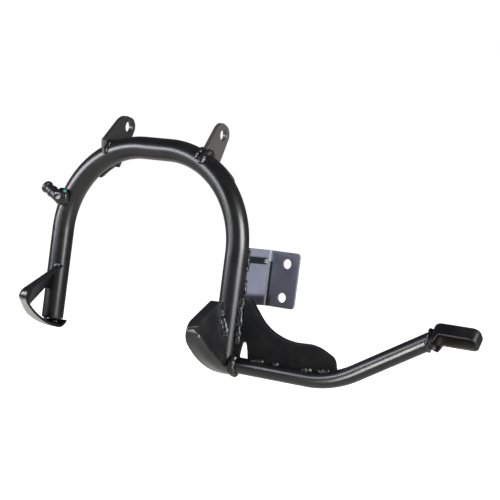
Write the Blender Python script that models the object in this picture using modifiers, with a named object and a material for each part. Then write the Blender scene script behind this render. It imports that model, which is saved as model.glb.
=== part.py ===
"""A scooter's centre stand: a bent tube bow with two pivot lugs, two pressed feet, a pedal arm and its welds.

The stand's own frame has +X towards the pedal, +Y to the rear of the machine and +Z up. The origin is the
middle of the pivot axis. Every piece is laid out from the middle of the bow's crown, which an empty carries.
"""
import math

import bmesh
import bpy
from mathutils import Matrix, Vector

# Pivot axis, measured from the crown of the bow's centre line
PIVOT_BEHIND = 0.0265
PIVOT_ABOVE = 0.0240

# Fit between pieces that touch
GAP = 0.0003

# Bow tube
TUBE_OD = 0.0254
TUBE_WALL = 0.0023
BEND_RADIUS = 0.104
CROWN_HALF = 0.018
LEFT_LEG = 0.105
RIGHT_LEG = 0.121
TUBE_SIDES = 24
BEND_STEPS = 13

# Pivot lugs
LEFT_LUG_X = 0.0675
RIGHT_LUG_X = 0.0655
LUG_THICK = 0.006
LUG_FOOT_DROP = 0.0245
EYE_HOLE = 0.0130
EYE_LAND = 0.0118
TAIL_LENGTH = 0.034
TAIL_WIDTH = 0.018
TAIL_THICK = 0.004
TAIL_INSET = 0.0095

# Spring peg
PEG_TURN = 18.5
PEG_TILT = 9.0
PEG_FRONT = 0.0045
PEG_SHANK = 0.0048
PEG_HEAD = 0.0068
PEG_COLLAR = 0.0068
PEG_LENGTH = 0.0260

# Feet
FOOT_SHEET = 0.0030
LIP_RADIUS = 0.014
LIP_TURN = 75.0
STRIP_WIDTH = 0.0100
SOLE_WIDTH = 0.0170
RIDGE_RISE = 0.0110
FOOT_CREASE = 0.0060
FOOT_LAP = 0.0040
FOOT_STEPS = 11
LEFT_SOLE_BELOW = 0.0105
LEFT_LIMB_ABOVE = 0.0636
LEFT_ROCKER = 0.1093
LEFT_ROCKER_Y = 0.0100
LEFT_SOLE_END = 263.5
LEFT_LIMB_SLOPE = 28.6
LEFT_NOSE = 0.0085
LEFT_NOSE_WIDTH = 0.0035
WINDOW_RIM = 0.0065
RIGHT_SOLE_BELOW = 0.0130
RIGHT_LIMB_ABOVE = 0.0744
RIGHT_ROCKER = 0.1300
RIGHT_ROCKER_Y = 0.0317
RIGHT_SOLE_END = 265.5
RIGHT_LIMB_SLOPE = 32.5
RIGHT_NOSE = 0.0170
RIGHT_NOSE_WIDTH = 0.0130
RIGHT_LIMB_CUT = 0.0072

# Pedal arm and its gusset
ARM_OD = 0.0180
ARM_WALL = 0.0020
ARM_SIDES = 18
ARM_ABOVE_END = 0.0015
ARM_ROOT_GAP = 0.0020
ARM_LEVEL = 0.105
ARM_BEND_RADIUS = 0.110
ARM_RISE = 30.0
WEB_Y = 0.0020
GUSSET_THICK = 0.0045
GUSSET_LAP = 0.0040
GUSSET_RISE = 0.0745
GUSSET_REACH = 0.1380

# Pedal tread
TREAD_REACH = 0.2665
TREAD_Y = 0.0060
TREAD_BELOW_ARM = 0.0017
TREAD_LENGTH = 0.0500
TREAD_WIDTH = 0.0210
TREAD_CORNER = 0.0070
TREAD_FLANGE = 0.0145
TREAD_EAR = 0.0230
TREAD_SHEET = 0.0026
TREAD_TILT = 38.0

# Side bracket
BRACKET_SHEET = 0.0030
BRACKET_BESIDE = 0.0080
BRACKET_REACH = 0.0570
BRACKET_TOP = 0.0965
BRACKET_HEIGHT = 0.0620
BRACKET_FLANGE = 0.0385
BRACKET_BEND = 0.0070
BRACKET_HOLE = 0.0110
RIB_BELOW_TOP = 0.0085
RIB_SLOPE = 0.0015
RIB_WIDTH = 0.0050
RIB_DEPTH = 0.0022

# Weld beads
BEAD_RADIUS = 0.0030
ROOT_BEAD = 0.0036
LEG_BEAD = 0.0034
WALL_BEAD = 0.0028
THIN_BEAD = 0.0026
BRACKET_BEAD = 0.0024
PEDAL_BEAD = 0.0022
BEAD_PITCH = 0.0042
BEAD_SIDES = 8
BEAD_REST = 0.0006

LEG_X = CROWN_HALF + BEND_RADIUS
TUBE_R = TUBE_OD / 2
ARM_R = ARM_OD / 2
LEFT_END_Z = -(BEND_RADIUS + LEFT_LEG)
RIGHT_END_Z = -(BEND_RADIUS + RIGHT_LEG)
LUG_X = {-1: LEFT_LUG_X, 1: RIGHT_LUG_X}
ARM_Z = RIGHT_END_Z + ARM_ABOVE_END
TREAD_X = LEG_X + TREAD_REACH


def clear_scene():
    for obj in list(bpy.data.objects):
        bpy.data.objects.remove(obj, do_unlink=True)


def new_collection(name):
    group = bpy.data.collections.new(name)
    bpy.context.scene.collection.children.link(group)
    return group


def black_paint(name, colour=(0.020, 0.021, 0.024), roughness=0.34, metallic=0.25):
    made = bpy.data.materials.new(name)
    made.use_nodes = True
    shader = made.node_tree.nodes["Principled BSDF"]
    shader.inputs["Base Color"].default_value = (*colour, 1.0)
    shader.inputs["Roughness"].default_value = roughness
    shader.inputs["Metallic"].default_value = metallic
    return made


def add_part(obj, material=None):
    """Puts a finished object in the stand's collection, on the crown's empty, with its own material."""
    for group in obj.users_collection:
        group.objects.unlink(obj)
    PARTS.objects.link(obj)
    obj.parent = CROWN
    if material is not None:
        obj.data.materials.clear()
        obj.data.materials.append(material)
    return obj


def add_cutter(obj):
    for group in obj.users_collection:
        group.objects.unlink(obj)
    CUTTERS.objects.link(obj)
    obj.parent = CROWN
    obj.hide_render = True
    obj.display_type = "WIRE"
    return obj


def link_new(name, data):
    obj = bpy.data.objects.new(name, data)
    bpy.context.scene.collection.objects.link(obj)
    return obj


def as_mesh(obj):
    """Turns a curve, or a mesh with modifiers, into a closed plain mesh with its faces out."""
    bpy.context.view_layer.update()
    graph = bpy.context.evaluated_depsgraph_get()
    mesh = bpy.data.meshes.new_from_object(obj.evaluated_get(graph))
    made = bpy.data.objects.new(obj.name, mesh)
    bpy.context.scene.collection.objects.link(made)
    made.matrix_world = obj.matrix_world.copy()
    name = obj.name
    bpy.data.objects.remove(obj, do_unlink=True)
    made.name = name
    work = bmesh.new()
    work.from_mesh(mesh)
    bmesh.ops.remove_doubles(work, verts=work.verts, dist=1e-6)
    bmesh.ops.recalc_face_normals(work, faces=work.faces)
    work.to_mesh(mesh)
    work.free()
    return made


def settle(obj):
    """Moves an object's place into its mesh, so that it shares the crown's frame."""
    obj.data.transform(obj.matrix_basis)
    obj.matrix_basis = Matrix.Identity(4)
    return obj


def smooth(obj, angle=32.0):
    obj.data.shade_smooth()
    obj.data.set_sharp_from_angle(angle=math.radians(angle))
    return obj


def rod(name, points, radius, sides, radii=None):
    """A round bar along points, with filled ends."""
    data = bpy.data.curves.new(name, "CURVE")
    data.dimensions = "3D"
    spline = data.splines.new("POLY")
    spline.points.add(len(points) - 1)
    for i, place in enumerate(points):
        spline.points[i].co = (*place, 1.0)
        spline.points[i].radius = 1.0 if radii is None else radii[i]
    data.bevel_depth = radius
    data.bevel_resolution = sides // 2 - 2
    data.use_fill_caps = True
    return as_mesh(link_new(name, data))


def cut(obj, tool, operation="DIFFERENCE", solver="EXACT"):
    """Cuts one closed mesh with another. MANIFOLD is for the few cuts that EXACT gets wrong."""
    modifier = obj.modifiers.new(operation.title() + " " + tool.name, "BOOLEAN")
    modifier.operation = operation
    modifier.object = tool
    modifier.solver = solver
    return modifier


def arc(centre, radius, start, end, steps):
    """Points on a circle from one angle to another, in degrees."""
    made = []
    for i in range(steps + 1):
        turn = math.radians(start + (end - start) * i / steps)
        made.append((centre[0] + radius * math.cos(turn), centre[1] + radius * math.sin(turn)))
    return made


def rounded(corners, radii, steps=4):
    """A polyline with each inner corner rounded by its radius, or by what its sides allow."""
    made = [Vector(corners[0])]
    for before, corner, after, radius in zip(corners, corners[1:], corners[2:], radii):
        corner = Vector(corner)
        back = Vector(before) - corner
        on = Vector(after) - corner
        reach = min(radius, 0.45 * back.length, 0.45 * on.length)
        first = corner + back.normalized() * reach if back.length else corner
        last = corner + on.normalized() * reach if on.length else corner
        for i in range(steps):
            t = i / (steps - 1)
            made.append(first * (1 - t) ** 2 + corner * 2 * t * (1 - t) + last * t**2)
    made.append(Vector(corners[-1]))
    return made


def plate(name, outline, thickness, turn, holes=()):
    """A flat plate with holes, standing on its thickness's middle."""
    data = bpy.data.curves.new(name, "CURVE")
    data.dimensions = "2D"
    data.fill_mode = "BOTH"
    data.extrude = thickness / 2
    for ring in (outline, *holes):
        spline = data.splines.new("POLY")
        spline.points.add(len(ring) - 1)
        for i, place in enumerate(ring):
            spline.points[i].co = (place[0], place[1], 0.0, 1.0)
        spline.use_cyclic_u = True
    obj = link_new(name, data)
    obj.matrix_world = turn
    return settle(as_mesh(obj))


def facing_x(x):
    """Stands a plate across X: its own x runs along Y and its own y along Z."""
    return Matrix(((0, 0, 1, x), (1, 0, 0, 0), (0, 1, 0, 0), (0, 0, 0, 1)))


def facing_y(y):
    """Stands a plate across Y: its own x runs along X and its own y along Z."""
    return Matrix(((1, 0, 0, 0), (0, 0, -1, y), (0, 1, 0, 0), (0, 0, 0, 1)))


def bow_point(turn, radius=BEND_RADIUS, side=1):
    """A point of the bend, by its angle from the crown in degrees and its distance from the bend's centre."""
    angle = math.radians(turn)
    x = CROWN_HALF + radius * math.sin(angle)
    return Vector((side * x, 0.0, radius * math.cos(angle) - BEND_RADIUS))


def bow_path(left_z, right_z):
    points = [Vector((-LEG_X, 0, left_z))]
    points += [bow_point(90 * (1 - i / BEND_STEPS), side=-1) for i in range(BEND_STEPS + 1)]
    points += [bow_point(90 * i / BEND_STEPS) for i in range(BEND_STEPS + 1)]
    points.append(Vector((LEG_X, 0, right_z)))
    return points


def make_bow():
    tube = rod("bow_tube", bow_path(LEFT_END_Z, RIGHT_END_Z), TUBE_R, TUBE_SIDES)
    over = 0.004
    bore = rod("bow_bore", bow_path(LEFT_END_Z - over, RIGHT_END_Z - over), TUBE_R - TUBE_WALL, TUBE_SIDES)
    cut(tube, add_cutter(bore))
    return smooth(add_part(tube, black_paint("bow paint")))


def bow_room():
    """The space that the bow takes from its neighbours, a gap larger all round."""
    path = bow_path(LEFT_END_Z - GAP, RIGHT_END_Z - GAP)
    return add_cutter(rod("bow_room", path, TUBE_R + GAP, TUBE_SIDES))


def lug_outline(front, top_front, top):
    """Lug seen from the side: front foot, straight front edge, rounded eye, straight rear edge, tail."""
    eye = (PIVOT_BEHIND, PIVOT_ABOVE)
    land = EYE_LAND
    rear_foot = (TUBE_R + 0.0055, -LUG_FOOT_DROP)
    points = [front]
    points += [tuple(p) for p in rounded([front, top_front, top, (eye[0] + 0.4 * land, eye[1] + land)],
                                         (0.006, 0.010))[1:-1]]
    points += arc(eye, land, 66, -18, 8)
    points.append(rear_foot)
    points.append((0.0, -LUG_FOOT_DROP))
    points.append((front[0] + 0.002, front[1] - 0.012))
    return points


def lug_tail(side, gap=0.0):
    """The lug's foot behind the tube: a strip that follows the bend, folded outwards."""
    inner = BEND_RADIUS - TAIL_INSET
    turn = math.degrees(math.asin((LUG_X[side] - CROWN_HALF) / BEND_RADIUS))
    sweep = math.degrees(TAIL_LENGTH / BEND_RADIUS)
    ring = [bow_point(turn + sweep * i / 5, inner + TAIL_WIDTH) for i in range(6)]
    ring += [bow_point(turn + sweep * (5 - i) / 5, inner) for i in range(6)]
    outline = [(side * p.x, p.z) for p in ring]
    middle = TUBE_R + GAP + TAIL_THICK / 2
    name = "lug_tail_%d" % side if gap == 0.0 else "tail_room_%d" % side
    return plate(name, outline, TAIL_THICK + 2 * gap, facing_y(middle))


def make_lug(name, side, outline, room):
    hole = arc((PIVOT_BEHIND, PIVOT_ABOVE), EYE_HOLE / 2, 0, 345, 23)
    lug = plate(name, outline, LUG_THICK, facing_x(side * LUG_X[side]), holes=(hole,))
    cut(lug, add_cutter(lug_tail(side)), "UNION")
    cut(lug, room)
    return smooth(add_part(lug, black_paint(name + " paint")), 25)


def make_lugs(room):
    left = lug_outline((-0.0150, 0.0040), (0.0100, 0.0318), (0.0180, 0.0362))
    right = lug_outline((-0.0050, 0.0020), (0.0150, 0.0330), (0.0215, 0.0375))
    return make_lug("pivot_lug_left", -1, left, room), make_lug("pivot_lug_right", 1, right, room)


def peg_axis():
    """A point on the peg's axis inside the tube, the way out of the bend there, and the peg's own way."""
    angle = math.radians(PEG_TURN)
    tilted = math.radians(PEG_TURN + PEG_TILT)
    out = Vector((-math.cos(angle), 0, math.sin(angle)))
    direction = Vector((-math.cos(tilted), 0, math.sin(tilted)))
    return Vector((-CROWN_HALF, -PEG_FRONT, -BEND_RADIUS)) + out * BEND_RADIUS, out, direction


def make_peg(room):
    """Turned peg: tapered root, collar, groove for the spring's hook, and a domed head."""
    root = 0.3 * TUBE_R
    tip = TUBE_R + PEG_LENGTH
    profile = [(0, tip), (0.6 * PEG_HEAD, tip - 0.0003), (0.88 * PEG_HEAD, tip - 0.0012)]
    profile += [(PEG_HEAD, tip - 0.0028)]
    profile += [(PEG_HEAD, tip - 0.0055), (PEG_SHANK, tip - 0.0066), (PEG_SHANK, tip - 0.0112)]
    profile += [(PEG_COLLAR, tip - 0.0124), (PEG_COLLAR, tip - 0.0150), (1.05 * PEG_SHANK, tip - 0.0164)]
    profile += [(1.15 * PEG_SHANK, root + 0.004), (1.15 * PEG_SHANK, root), (0, root)]
    mesh = bpy.data.meshes.new("spring_peg")
    edges = [(i, i + 1) for i in range(len(profile) - 1)]
    mesh.from_pydata([(x, 0, z) for x, z in profile], edges, [])
    peg = link_new("spring_peg", mesh)
    screw = peg.modifiers.new("Turn", "SCREW")
    screw.steps = 16
    screw.render_steps = 16
    screw.use_merge_vertices = True
    screw.merge_threshold = 1e-5
    start, _, direction = peg_axis()
    turn = direction.to_track_quat("Z", "Y").to_matrix().to_4x4()
    peg.matrix_world = Matrix.Translation(start) @ turn
    peg = settle(as_mesh(peg))
    cut(peg, room)
    return smooth(add_part(peg, black_paint("peg paint", roughness=0.40)), 30)


class Foot:
    """One foot's own sizes: the places of its sole and limb, and its nose's slope and roundness."""

    def __init__(self, side, end_z, sole_below, limb_above, rocker, rocker_y, sole_end, limb_slope,
                 nose_radius, nose_width):
        self.side = side
        self.end_z = end_z
        self.rocker = rocker
        self.sole_end = sole_end
        self.centre = Vector((rocker_y, end_z - sole_below + rocker))
        self.limb_start = Vector((-TUBE_R + FOOT_LAP, end_z + limb_above))
        slope = math.radians(limb_slope)
        self.forward = Vector((-math.cos(slope), -math.sin(slope)))
        self.inward = Vector((math.sin(slope), -math.cos(slope)))
        self.nose_radius = nose_radius
        self.nose_width = nose_width
        self.inner_x = LEG_X - TUBE_R

    def nose_centre(self):
        """Centre of the arc that touches the limb's line and the rocker's circle from inside."""
        start = self.limb_start + self.inward * self.nose_radius - self.centre
        along = start.dot(self.forward)
        reach = self.rocker - self.nose_radius
        travel = -along + math.sqrt(along**2 - start.length_squared + reach**2)
        return self.centre + start + self.forward * travel

    def turns(self):
        """Angles of the nose's arc where it meets the limb and the rocker."""
        nose = self.nose_centre()
        top = math.degrees(math.atan2(-self.inward.y, -self.inward.x))
        low = math.degrees(math.atan2(nose.y - self.centre.y, nose.x - self.centre.x)) % 360
        return nose, top, low

    def upper(self, inset, over):
        """From the middle of the nose up and back along the limb, set inwards and run on past its end."""
        nose, top, low = self.turns()
        points = arc(nose, self.nose_radius - inset, (top + low) / 2, top, 6)
        points.append(self.limb_start + self.inward * inset - self.forward * over)
        return [Vector(p) for p in points]

    def lower(self, inset, over):
        """From the middle of the nose down round the rocker and up the rear lip."""
        nose, top, low = self.turns()
        points = arc(nose, self.nose_radius - inset, (top + low) / 2, low, 6)
        points += arc(self.centre, self.rocker - inset, low, self.sole_end, 16)[1:]
        lip = arc(self.centre, self.rocker - LIP_RADIUS, self.sole_end, self.sole_end, 1)[0]
        beyond = math.degrees(over / LIP_RADIUS)
        points += arc(lip, LIP_RADIUS - inset, self.sole_end, self.sole_end + LIP_TURN + beyond, 6)[1:]
        return [Vector(p) for p in points]


def spread(points, count):
    """Points along a polyline, closer together at its start."""
    lengths = [0.0]
    for a, b in zip(points, points[1:]):
        lengths.append(lengths[-1] + (b - a).length)
    made = []
    for i in range(count + 1):
        goal = lengths[-1] * (i / count) ** 1.5
        k = max(j for j in range(len(points) - 1) if lengths[j] <= goal + 1e-12)
        t = (goal - lengths[k]) / (lengths[k + 1] - lengths[k])
        made.append(points[k].lerp(points[k + 1], min(1.0, t)))
    return made


def foot_section(foot, u, top, low, inset, open_side):
    """One rib of the pressed foot: strip on the limb, leaning wall, ridge, hull-shaped sole."""
    height = (low - top).length
    strip = foot.nose_width + (STRIP_WIDTH - foot.nose_width) * min(1.0, 4 * u)
    sole = foot.nose_width + (SOLE_WIDTH - foot.nose_width) * min(1.0, 1.9 * u)
    bulge = 0.1 * TUBE_OD
    ridge = sole + bulge + (TUBE_OD - SOLE_WIDTH - bulge) * u**0.5 - 1.15 * inset
    rise = min(RIDGE_RISE, 0.45 * height)
    thin = 0.4 * inset
    corners = [(-open_side, 0), (strip - thin, 0), (ridge, height - rise), (sole - thin, height)]
    corners.append((-open_side, height))
    profile = rounded(corners, (FOOT_CREASE,) * 3, steps=3)
    down = (low - top) / height if height > 1e-9 else Vector((0, 0))
    made = []
    for x, s in profile:
        place = top + down * s
        made.append(Vector((foot.side * (foot.inner_x + x), place.x, place.y)))
    return made


def foot_form(name, foot, inset, over):
    """A closed form of the foot, its ribs joined from the nose to the leg."""
    tops = spread(foot.upper(inset, over), FOOT_STEPS)
    lows = spread(foot.lower(inset, over), FOOT_STEPS)
    mesh = bpy.data.meshes.new(name)
    work = bmesh.new()
    rows = []
    for i, (top, low) in enumerate(zip(tops, lows)):
        rib = foot_section(foot, i / FOOT_STEPS, top, low, inset, over)
        rows.append([work.verts.new(p) for p in rib])
    for a, b in zip(rows, rows[1:]):
        for j in range(len(a)):
            k = (j + 1) % len(a)
            work.faces.new((a[j], a[k], b[k], b[j]))
    work.faces.new(rows[-1])
    bmesh.ops.remove_doubles(work, verts=work.verts, dist=1e-6)
    bmesh.ops.dissolve_degenerate(work, edges=work.edges, dist=1e-7)
    bmesh.ops.recalc_face_normals(work, faces=work.faces)
    work.to_mesh(mesh)
    work.free()
    return link_new(name, mesh)


def make_foot(name, foot, room, window=None, solver="EXACT"):
    """A foot's sheet: its outer form less its inner form, and less what the leg and the trim take."""
    obj = foot_form(name, foot, 0.0, 0.0)
    tools = [foot_form(name + "_inside", foot, FOOT_SHEET, 2 * FOOT_SHEET), wall_trim(foot)]
    if window is not None:
        tools.append(window)
    for tool in tools:
        cut(obj, tool)
    obj = as_mesh(obj)
    for tool in tools:
        add_cutter(tool)
    cut(obj, room, solver=solver)
    return smooth(add_part(obj, black_paint(name + " paint")), 40)


def wall_trim(foot):
    """What is cut off the wall, so that it ends on the front half of the leg and leaves the rear lip."""
    low = foot.lower(0.0, 0.0)[-7].y
    high = foot.limb_start.y + 2 * TUBE_OD
    rear = 1.5 * TUBE_OD
    front = -0.24 * TUBE_OD
    outline = [(-0.06 * TUBE_OD, low + 0.29 * TUBE_OD), (rear, low + 0.44 * TUBE_OD), (rear, high)]
    outline += [(front, high), (front, low + 1.2 * TUBE_OD)]
    return plate("wall_trim_%d" % foot.side, outline, 2 * TUBE_OD, facing_x(foot.side * LEG_X))


def limb_cut(foot):
    """What is cut off the top of a limb, so that it ends level in front of the leg."""
    low = foot.limb_start.y - RIGHT_LIMB_CUT
    outline = [(-TUBE_OD, low), (TUBE_OD, low), (TUBE_OD, low + TUBE_OD), (-TUBE_OD, low + TUBE_OD)]
    return add_cutter(plate("limb_cut", outline, 3 * TUBE_OD, facing_x(foot.side * LEG_X)))


def make_feet(room):
    """The two feet, with a see-through window in the left one's wall."""
    left = Foot(-1, LEFT_END_Z, LEFT_SOLE_BELOW, LEFT_LIMB_ABOVE, LEFT_ROCKER, LEFT_ROCKER_Y,
                LEFT_SOLE_END, LEFT_LIMB_SLOPE, LEFT_NOSE, LEFT_NOSE_WIDTH)
    right = Foot(1, RIGHT_END_Z, RIGHT_SOLE_BELOW, RIGHT_LIMB_ABOVE, RIGHT_ROCKER, RIGHT_ROCKER_Y,
                 RIGHT_SOLE_END, RIGHT_LIMB_SLOPE, RIGHT_NOSE, RIGHT_NOSE_WIDTH)
    top = LEFT_END_Z + 1.36 * TUBE_OD
    window = [(-0.16 * TUBE_OD, top), (-0.74 * TUBE_OD, top)]
    window += arc(left.centre, LEFT_ROCKER - WINDOW_RIM, 241, 262, 6)
    opening = plate("foot_window", window, 1.2 * TUBE_OD, facing_x(-(LEG_X + 0.54 * TUBE_OD)))
    shell_left = make_foot("foot_shell_left", left, room, opening, "MANIFOLD")
    shell_right = make_foot("foot_shell_right", right, room)
    cut(shell_right, limb_cut(right))
    return left, right, shell_left, shell_right


def arm_path(start, end):
    """Level run, one upward bend, straight run to the pedal."""
    points = [Vector((start, WEB_Y, ARM_Z))]
    steps = 7
    for i in range(steps + 1):
        angle = math.radians(ARM_RISE * i / steps)
        x = LEG_X + ARM_LEVEL + ARM_BEND_RADIUS * math.sin(angle)
        points.append(Vector((x, WEB_Y, ARM_Z + ARM_BEND_RADIUS * (1 - math.cos(angle)))))
    rise = math.tan(math.radians(ARM_RISE))
    last = points[-1]
    points.append(Vector((end, WEB_Y, last.z + (end - last.x) * rise)))
    return points


def arm_centre(x):
    """The arm's centre line at one X."""
    points = arm_path(LEG_X, TREAD_X)
    for a, b in zip(points, points[1:]):
        if a.x <= x <= b.x:
            return a.lerp(b, (x - a.x) / (b.x - a.x))
    return points[-1]


def make_arm():
    start = LEG_X + TUBE_R + ARM_ROOT_GAP
    end = TREAD_X - TREAD_LENGTH / 2 - GAP
    over = 0.012
    arm = rod("pedal_arm", arm_path(start, end + over), ARM_R, ARM_SIDES)
    bore = rod("arm_bore", arm_path(start - over, end + 2 * over), ARM_R - ARM_WALL, ARM_SIDES)
    cut(arm, add_cutter(bore))
    middle = arm_centre(end).z
    reach = 3 * ARM_OD
    block = [(end, middle + reach), (end + reach, middle + reach)]
    block += [(end + reach, middle - reach), (end, middle - reach)]
    cut(arm, add_cutter(plate("arm_end_cut", block, reach, facing_y(WEB_Y))))
    return smooth(add_part(arm, black_paint("arm paint")))


def arm_room():
    return add_cutter(rod("arm_room", arm_path(LEG_X + TUBE_R, TREAD_X), ARM_R + GAP, ARM_SIDES))


def web_point(along, up):
    """A point of the gusset, as shares of its reach from the leg's axis and of its rise above the arm's."""
    return LEG_X + GUSSET_REACH * along, ARM_Z + GUSSET_RISE * up


def gusset_outline():
    """The web seen from the front: hollow upper edge, blunt tip, and a notch beside the leg."""
    left = LEG_X + TUBE_R - GUSSET_LAP
    bottom = ARM_Z + ARM_R - GUSSET_LAP
    edge = [(left, web_point(0, 1)[1])]
    crest = ((0.174, 1.007), (0.362, 0.604), (0.580, 0.463), (0.804, 0.497), (0.978, 0.349), (1, 0.195))
    for along, up in crest:
        edge.append(web_point(along, up))
    edge.append((web_point(0.957, 0)[0], bottom))
    corner = GUSSET_LAP
    outline = rounded(edge, [corner * times for times in (1.5, 5, 6.5, 5.5, 3.5, 1)], steps=5)
    notch = [(web_point(0.226, 0)[0], bottom)]
    for along, up in ((0.207, 0.25), (0.187, 0.355), (0.150, 0.340), (0.135, 0.20)):
        notch.append(web_point(along, up))
    notch.append((web_point(0.133, 0)[0], bottom))
    outline += rounded(notch, [corner * times for times in (1, 0.6, 0.6, 1)], steps=4)
    outline.append(Vector((left, bottom)))
    return [tuple(p) for p in outline]


def web_room():
    """The space that the gusset takes from the beads on it, a gap larger on both faces."""
    right = LEG_X + GUSSET_REACH + ARM_OD
    high = ARM_Z + GUSSET_RISE + ARM_OD
    block = [(LEG_X, high), (right, high), (right, ARM_Z), (LEG_X, ARM_Z)]
    return slab("gusset_slab", block, GUSSET_THICK, facing_y(WEB_Y))


def make_gusset(bow, arm):
    web = plate("gusset_plate", gusset_outline(), GUSSET_THICK, facing_y(WEB_Y))
    cut(web, bow)
    cut(web, arm)
    return smooth(add_part(web, black_paint("gusset paint")), 25)


def tread_ring(inset, z):
    """The pressed tread's outline, a rectangle with round corners, drawn in by an inset at one depth."""
    half_x = TREAD_LENGTH / 2 - inset
    half_y = TREAD_WIDTH / 2 - inset
    radius = TREAD_CORNER - inset
    made = []
    for k, (sx, sy) in enumerate(((1, 1), (-1, 1), (-1, -1), (1, -1))):
        centre = (sx * (half_x - radius), sy * (half_y - radius))
        made += [(x, y, z) for x, y in arc(centre, radius, 90 * k, 90 * k + 90, 4)]
    return made


def make_tread():
    """Pressed pan on the arm's end. Its inner wall is deeper, and closes the arm."""
    mesh = bpy.data.meshes.new("pedal_tread")
    work = bmesh.new()
    levels = [(0.0030, 0.0), (0.0009, -0.0009), (0.0, -0.0030), (0.0, -TREAD_EAR)]
    rows = [[work.verts.new(p) for p in tread_ring(inset, z)] for inset, z in levels]
    work.faces.new(rows[0])
    for a, b in zip(rows, rows[1:]):
        for j in range(len(a)):
            k = (j + 1) % len(a)
            work.faces.new((a[j], b[j], b[k], a[k]))
    work.to_mesh(mesh)
    work.free()
    obj = link_new("pedal_tread", mesh)
    wall = obj.modifiers.new("Sheet", "SOLIDIFY")
    wall.thickness = TREAD_SHEET
    wall.offset = -1.0
    wall.use_even_offset = True
    turn = Matrix.Rotation(math.radians(-TREAD_TILT), 4, "X")
    height = arm_centre(TREAD_X).z - TREAD_BELOW_ARM
    obj.matrix_world = Matrix.Translation((TREAD_X, TREAD_Y, height)) @ turn
    obj = as_mesh(obj)
    half = TREAD_LENGTH / 2
    outline = [(half + 0.005, -TREAD_FLANGE), (-half + 0.0105, -TREAD_FLANGE)]
    outline += [(-half + 0.0070, -TREAD_EAR - 0.005)]
    outline.append((half + 0.005, -TREAD_EAR - 0.005))
    trim = plate("tread_trim", outline, 2 * TREAD_WIDTH, facing_y(0.0))
    trim.matrix_world = obj.matrix_world
    cut(obj, add_cutter(trim))
    settle(obj)
    settle(trim)
    return smooth(add_part(obj, black_paint("tread paint", roughness=0.42)), 40)


def bracket_plan():
    """The bracket seen from above: web behind the leg, bend, flange turned outwards."""
    web = LEG_X + BRACKET_BESIDE
    back = BRACKET_REACH
    corners = [(web, 0.0), (web, back), (web + BRACKET_FLANGE, back)]
    return rounded(corners, (BRACKET_BEND,), steps=5)


def make_bracket(bow):
    """Folded sheet with a pressed rib across its web, two holes and rounded corners."""
    top = -BRACKET_TOP
    bottom = top - BRACKET_HEIGHT
    plan = bracket_plan()
    rib = top - RIB_BELOW_TOP
    levels = [(top, 0.0), (rib, 0.0), (rib - RIB_SLOPE, RIB_DEPTH), (rib - RIB_SLOPE - RIB_WIDTH, RIB_DEPTH)]
    levels += [(rib - 2 * RIB_SLOPE - RIB_WIDTH, 0.0), (bottom, 0.0)]
    mesh = bpy.data.meshes.new("side_bracket")
    work = bmesh.new()
    rows = []
    for z, dent in levels:
        row = []
        for i, p in enumerate(plan):
            shift = dent if i < len(plan) - 1 - 3 else 0.0
            row.append(work.verts.new((p.x - shift, p.y, z)))
        rows.append(row)
    for a, b in zip(rows, rows[1:]):
        for j in range(len(a) - 1):
            work.faces.new((a[j], a[j + 1], b[j + 1], b[j]))
    work.to_mesh(mesh)
    work.free()
    obj = link_new("side_bracket", mesh)
    wall = obj.modifiers.new("Sheet", "SOLIDIFY")
    wall.thickness = BRACKET_SHEET
    wall.offset = 0.0
    wall.use_even_offset = True
    obj = as_mesh(obj)
    for k, (across, down) in enumerate(((0.610, 0.210), (0.571, 0.819))):
        place = (LEG_X + BRACKET_BESIDE + BRACKET_FLANGE * across, top - BRACKET_HEIGHT * down)
        ring = arc(place, BRACKET_HOLE / 2, 0, 345, 23)
        punch = plate("bracket_hole_%d" % (k + 1), ring, 4 * BRACKET_SHEET, facing_y(BRACKET_REACH))
        cut(obj, add_cutter(punch))
    cut(obj, bow)
    return smooth(add_part(obj, black_paint("bracket paint", roughness=0.30)), 30)


def bead(name, path, cutters=(), radius=BEAD_RADIUS, beside=None, solver="EXACT"):
    """A rippled weld bead along a path, cut clear of the pieces that it joins, or let into one beside it."""
    lengths = [0.0]
    for a, b in zip(path, path[1:]):
        lengths.append(lengths[-1] + (b - a).length)
    count = max(4, 2 * round(lengths[-1] / BEAD_PITCH))
    points = []
    radii = []
    for i in range(count + 1):
        goal = lengths[-1] * i / count
        k = max(j for j in range(len(path) - 1) if lengths[j] <= goal + 1e-9)
        t = min(1.0, (goal - lengths[k]) / (lengths[k + 1] - lengths[k]))
        points.append(path[k].lerp(path[k + 1], t))
        radii.append(0.62 if i in (0, count) else 1.0 if i % 2 else 0.84)
    obj = rod(name, points, radius, BEAD_SIDES, radii)
    if beside is not None:
        cut(beside, add_cutter(rod(name + "_room", path, radius + GAP, BEAD_SIDES)), solver=solver)
    for tool in cutters:
        cut(obj, tool)
    return smooth(add_part(obj, black_paint(name + " paint", roughness=0.38)), 60)


def slab(name, outline, thickness, turn):
    return add_cutter(plate(name, outline, thickness + 2 * GAP, turn))


def on_leg(side, across, z, front=1, out=BEAD_REST):
    """A point just off a leg's surface, by its distance outwards from the leg's axis and its height."""
    radius = TUBE_R + out
    across = max(-radius, min(across, radius))
    return Vector((side * (LEG_X + across), -front * math.sqrt(radius**2 - across**2), z))


def leg_seam(foot, places):
    """A seam over a leg's front, in tube radii: outwards from its axis, and down from the foot's limb."""
    top = foot.limb_start.y
    return [on_leg(foot.side, TUBE_R * across, top - TUBE_R * down) for across, down in places]


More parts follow.
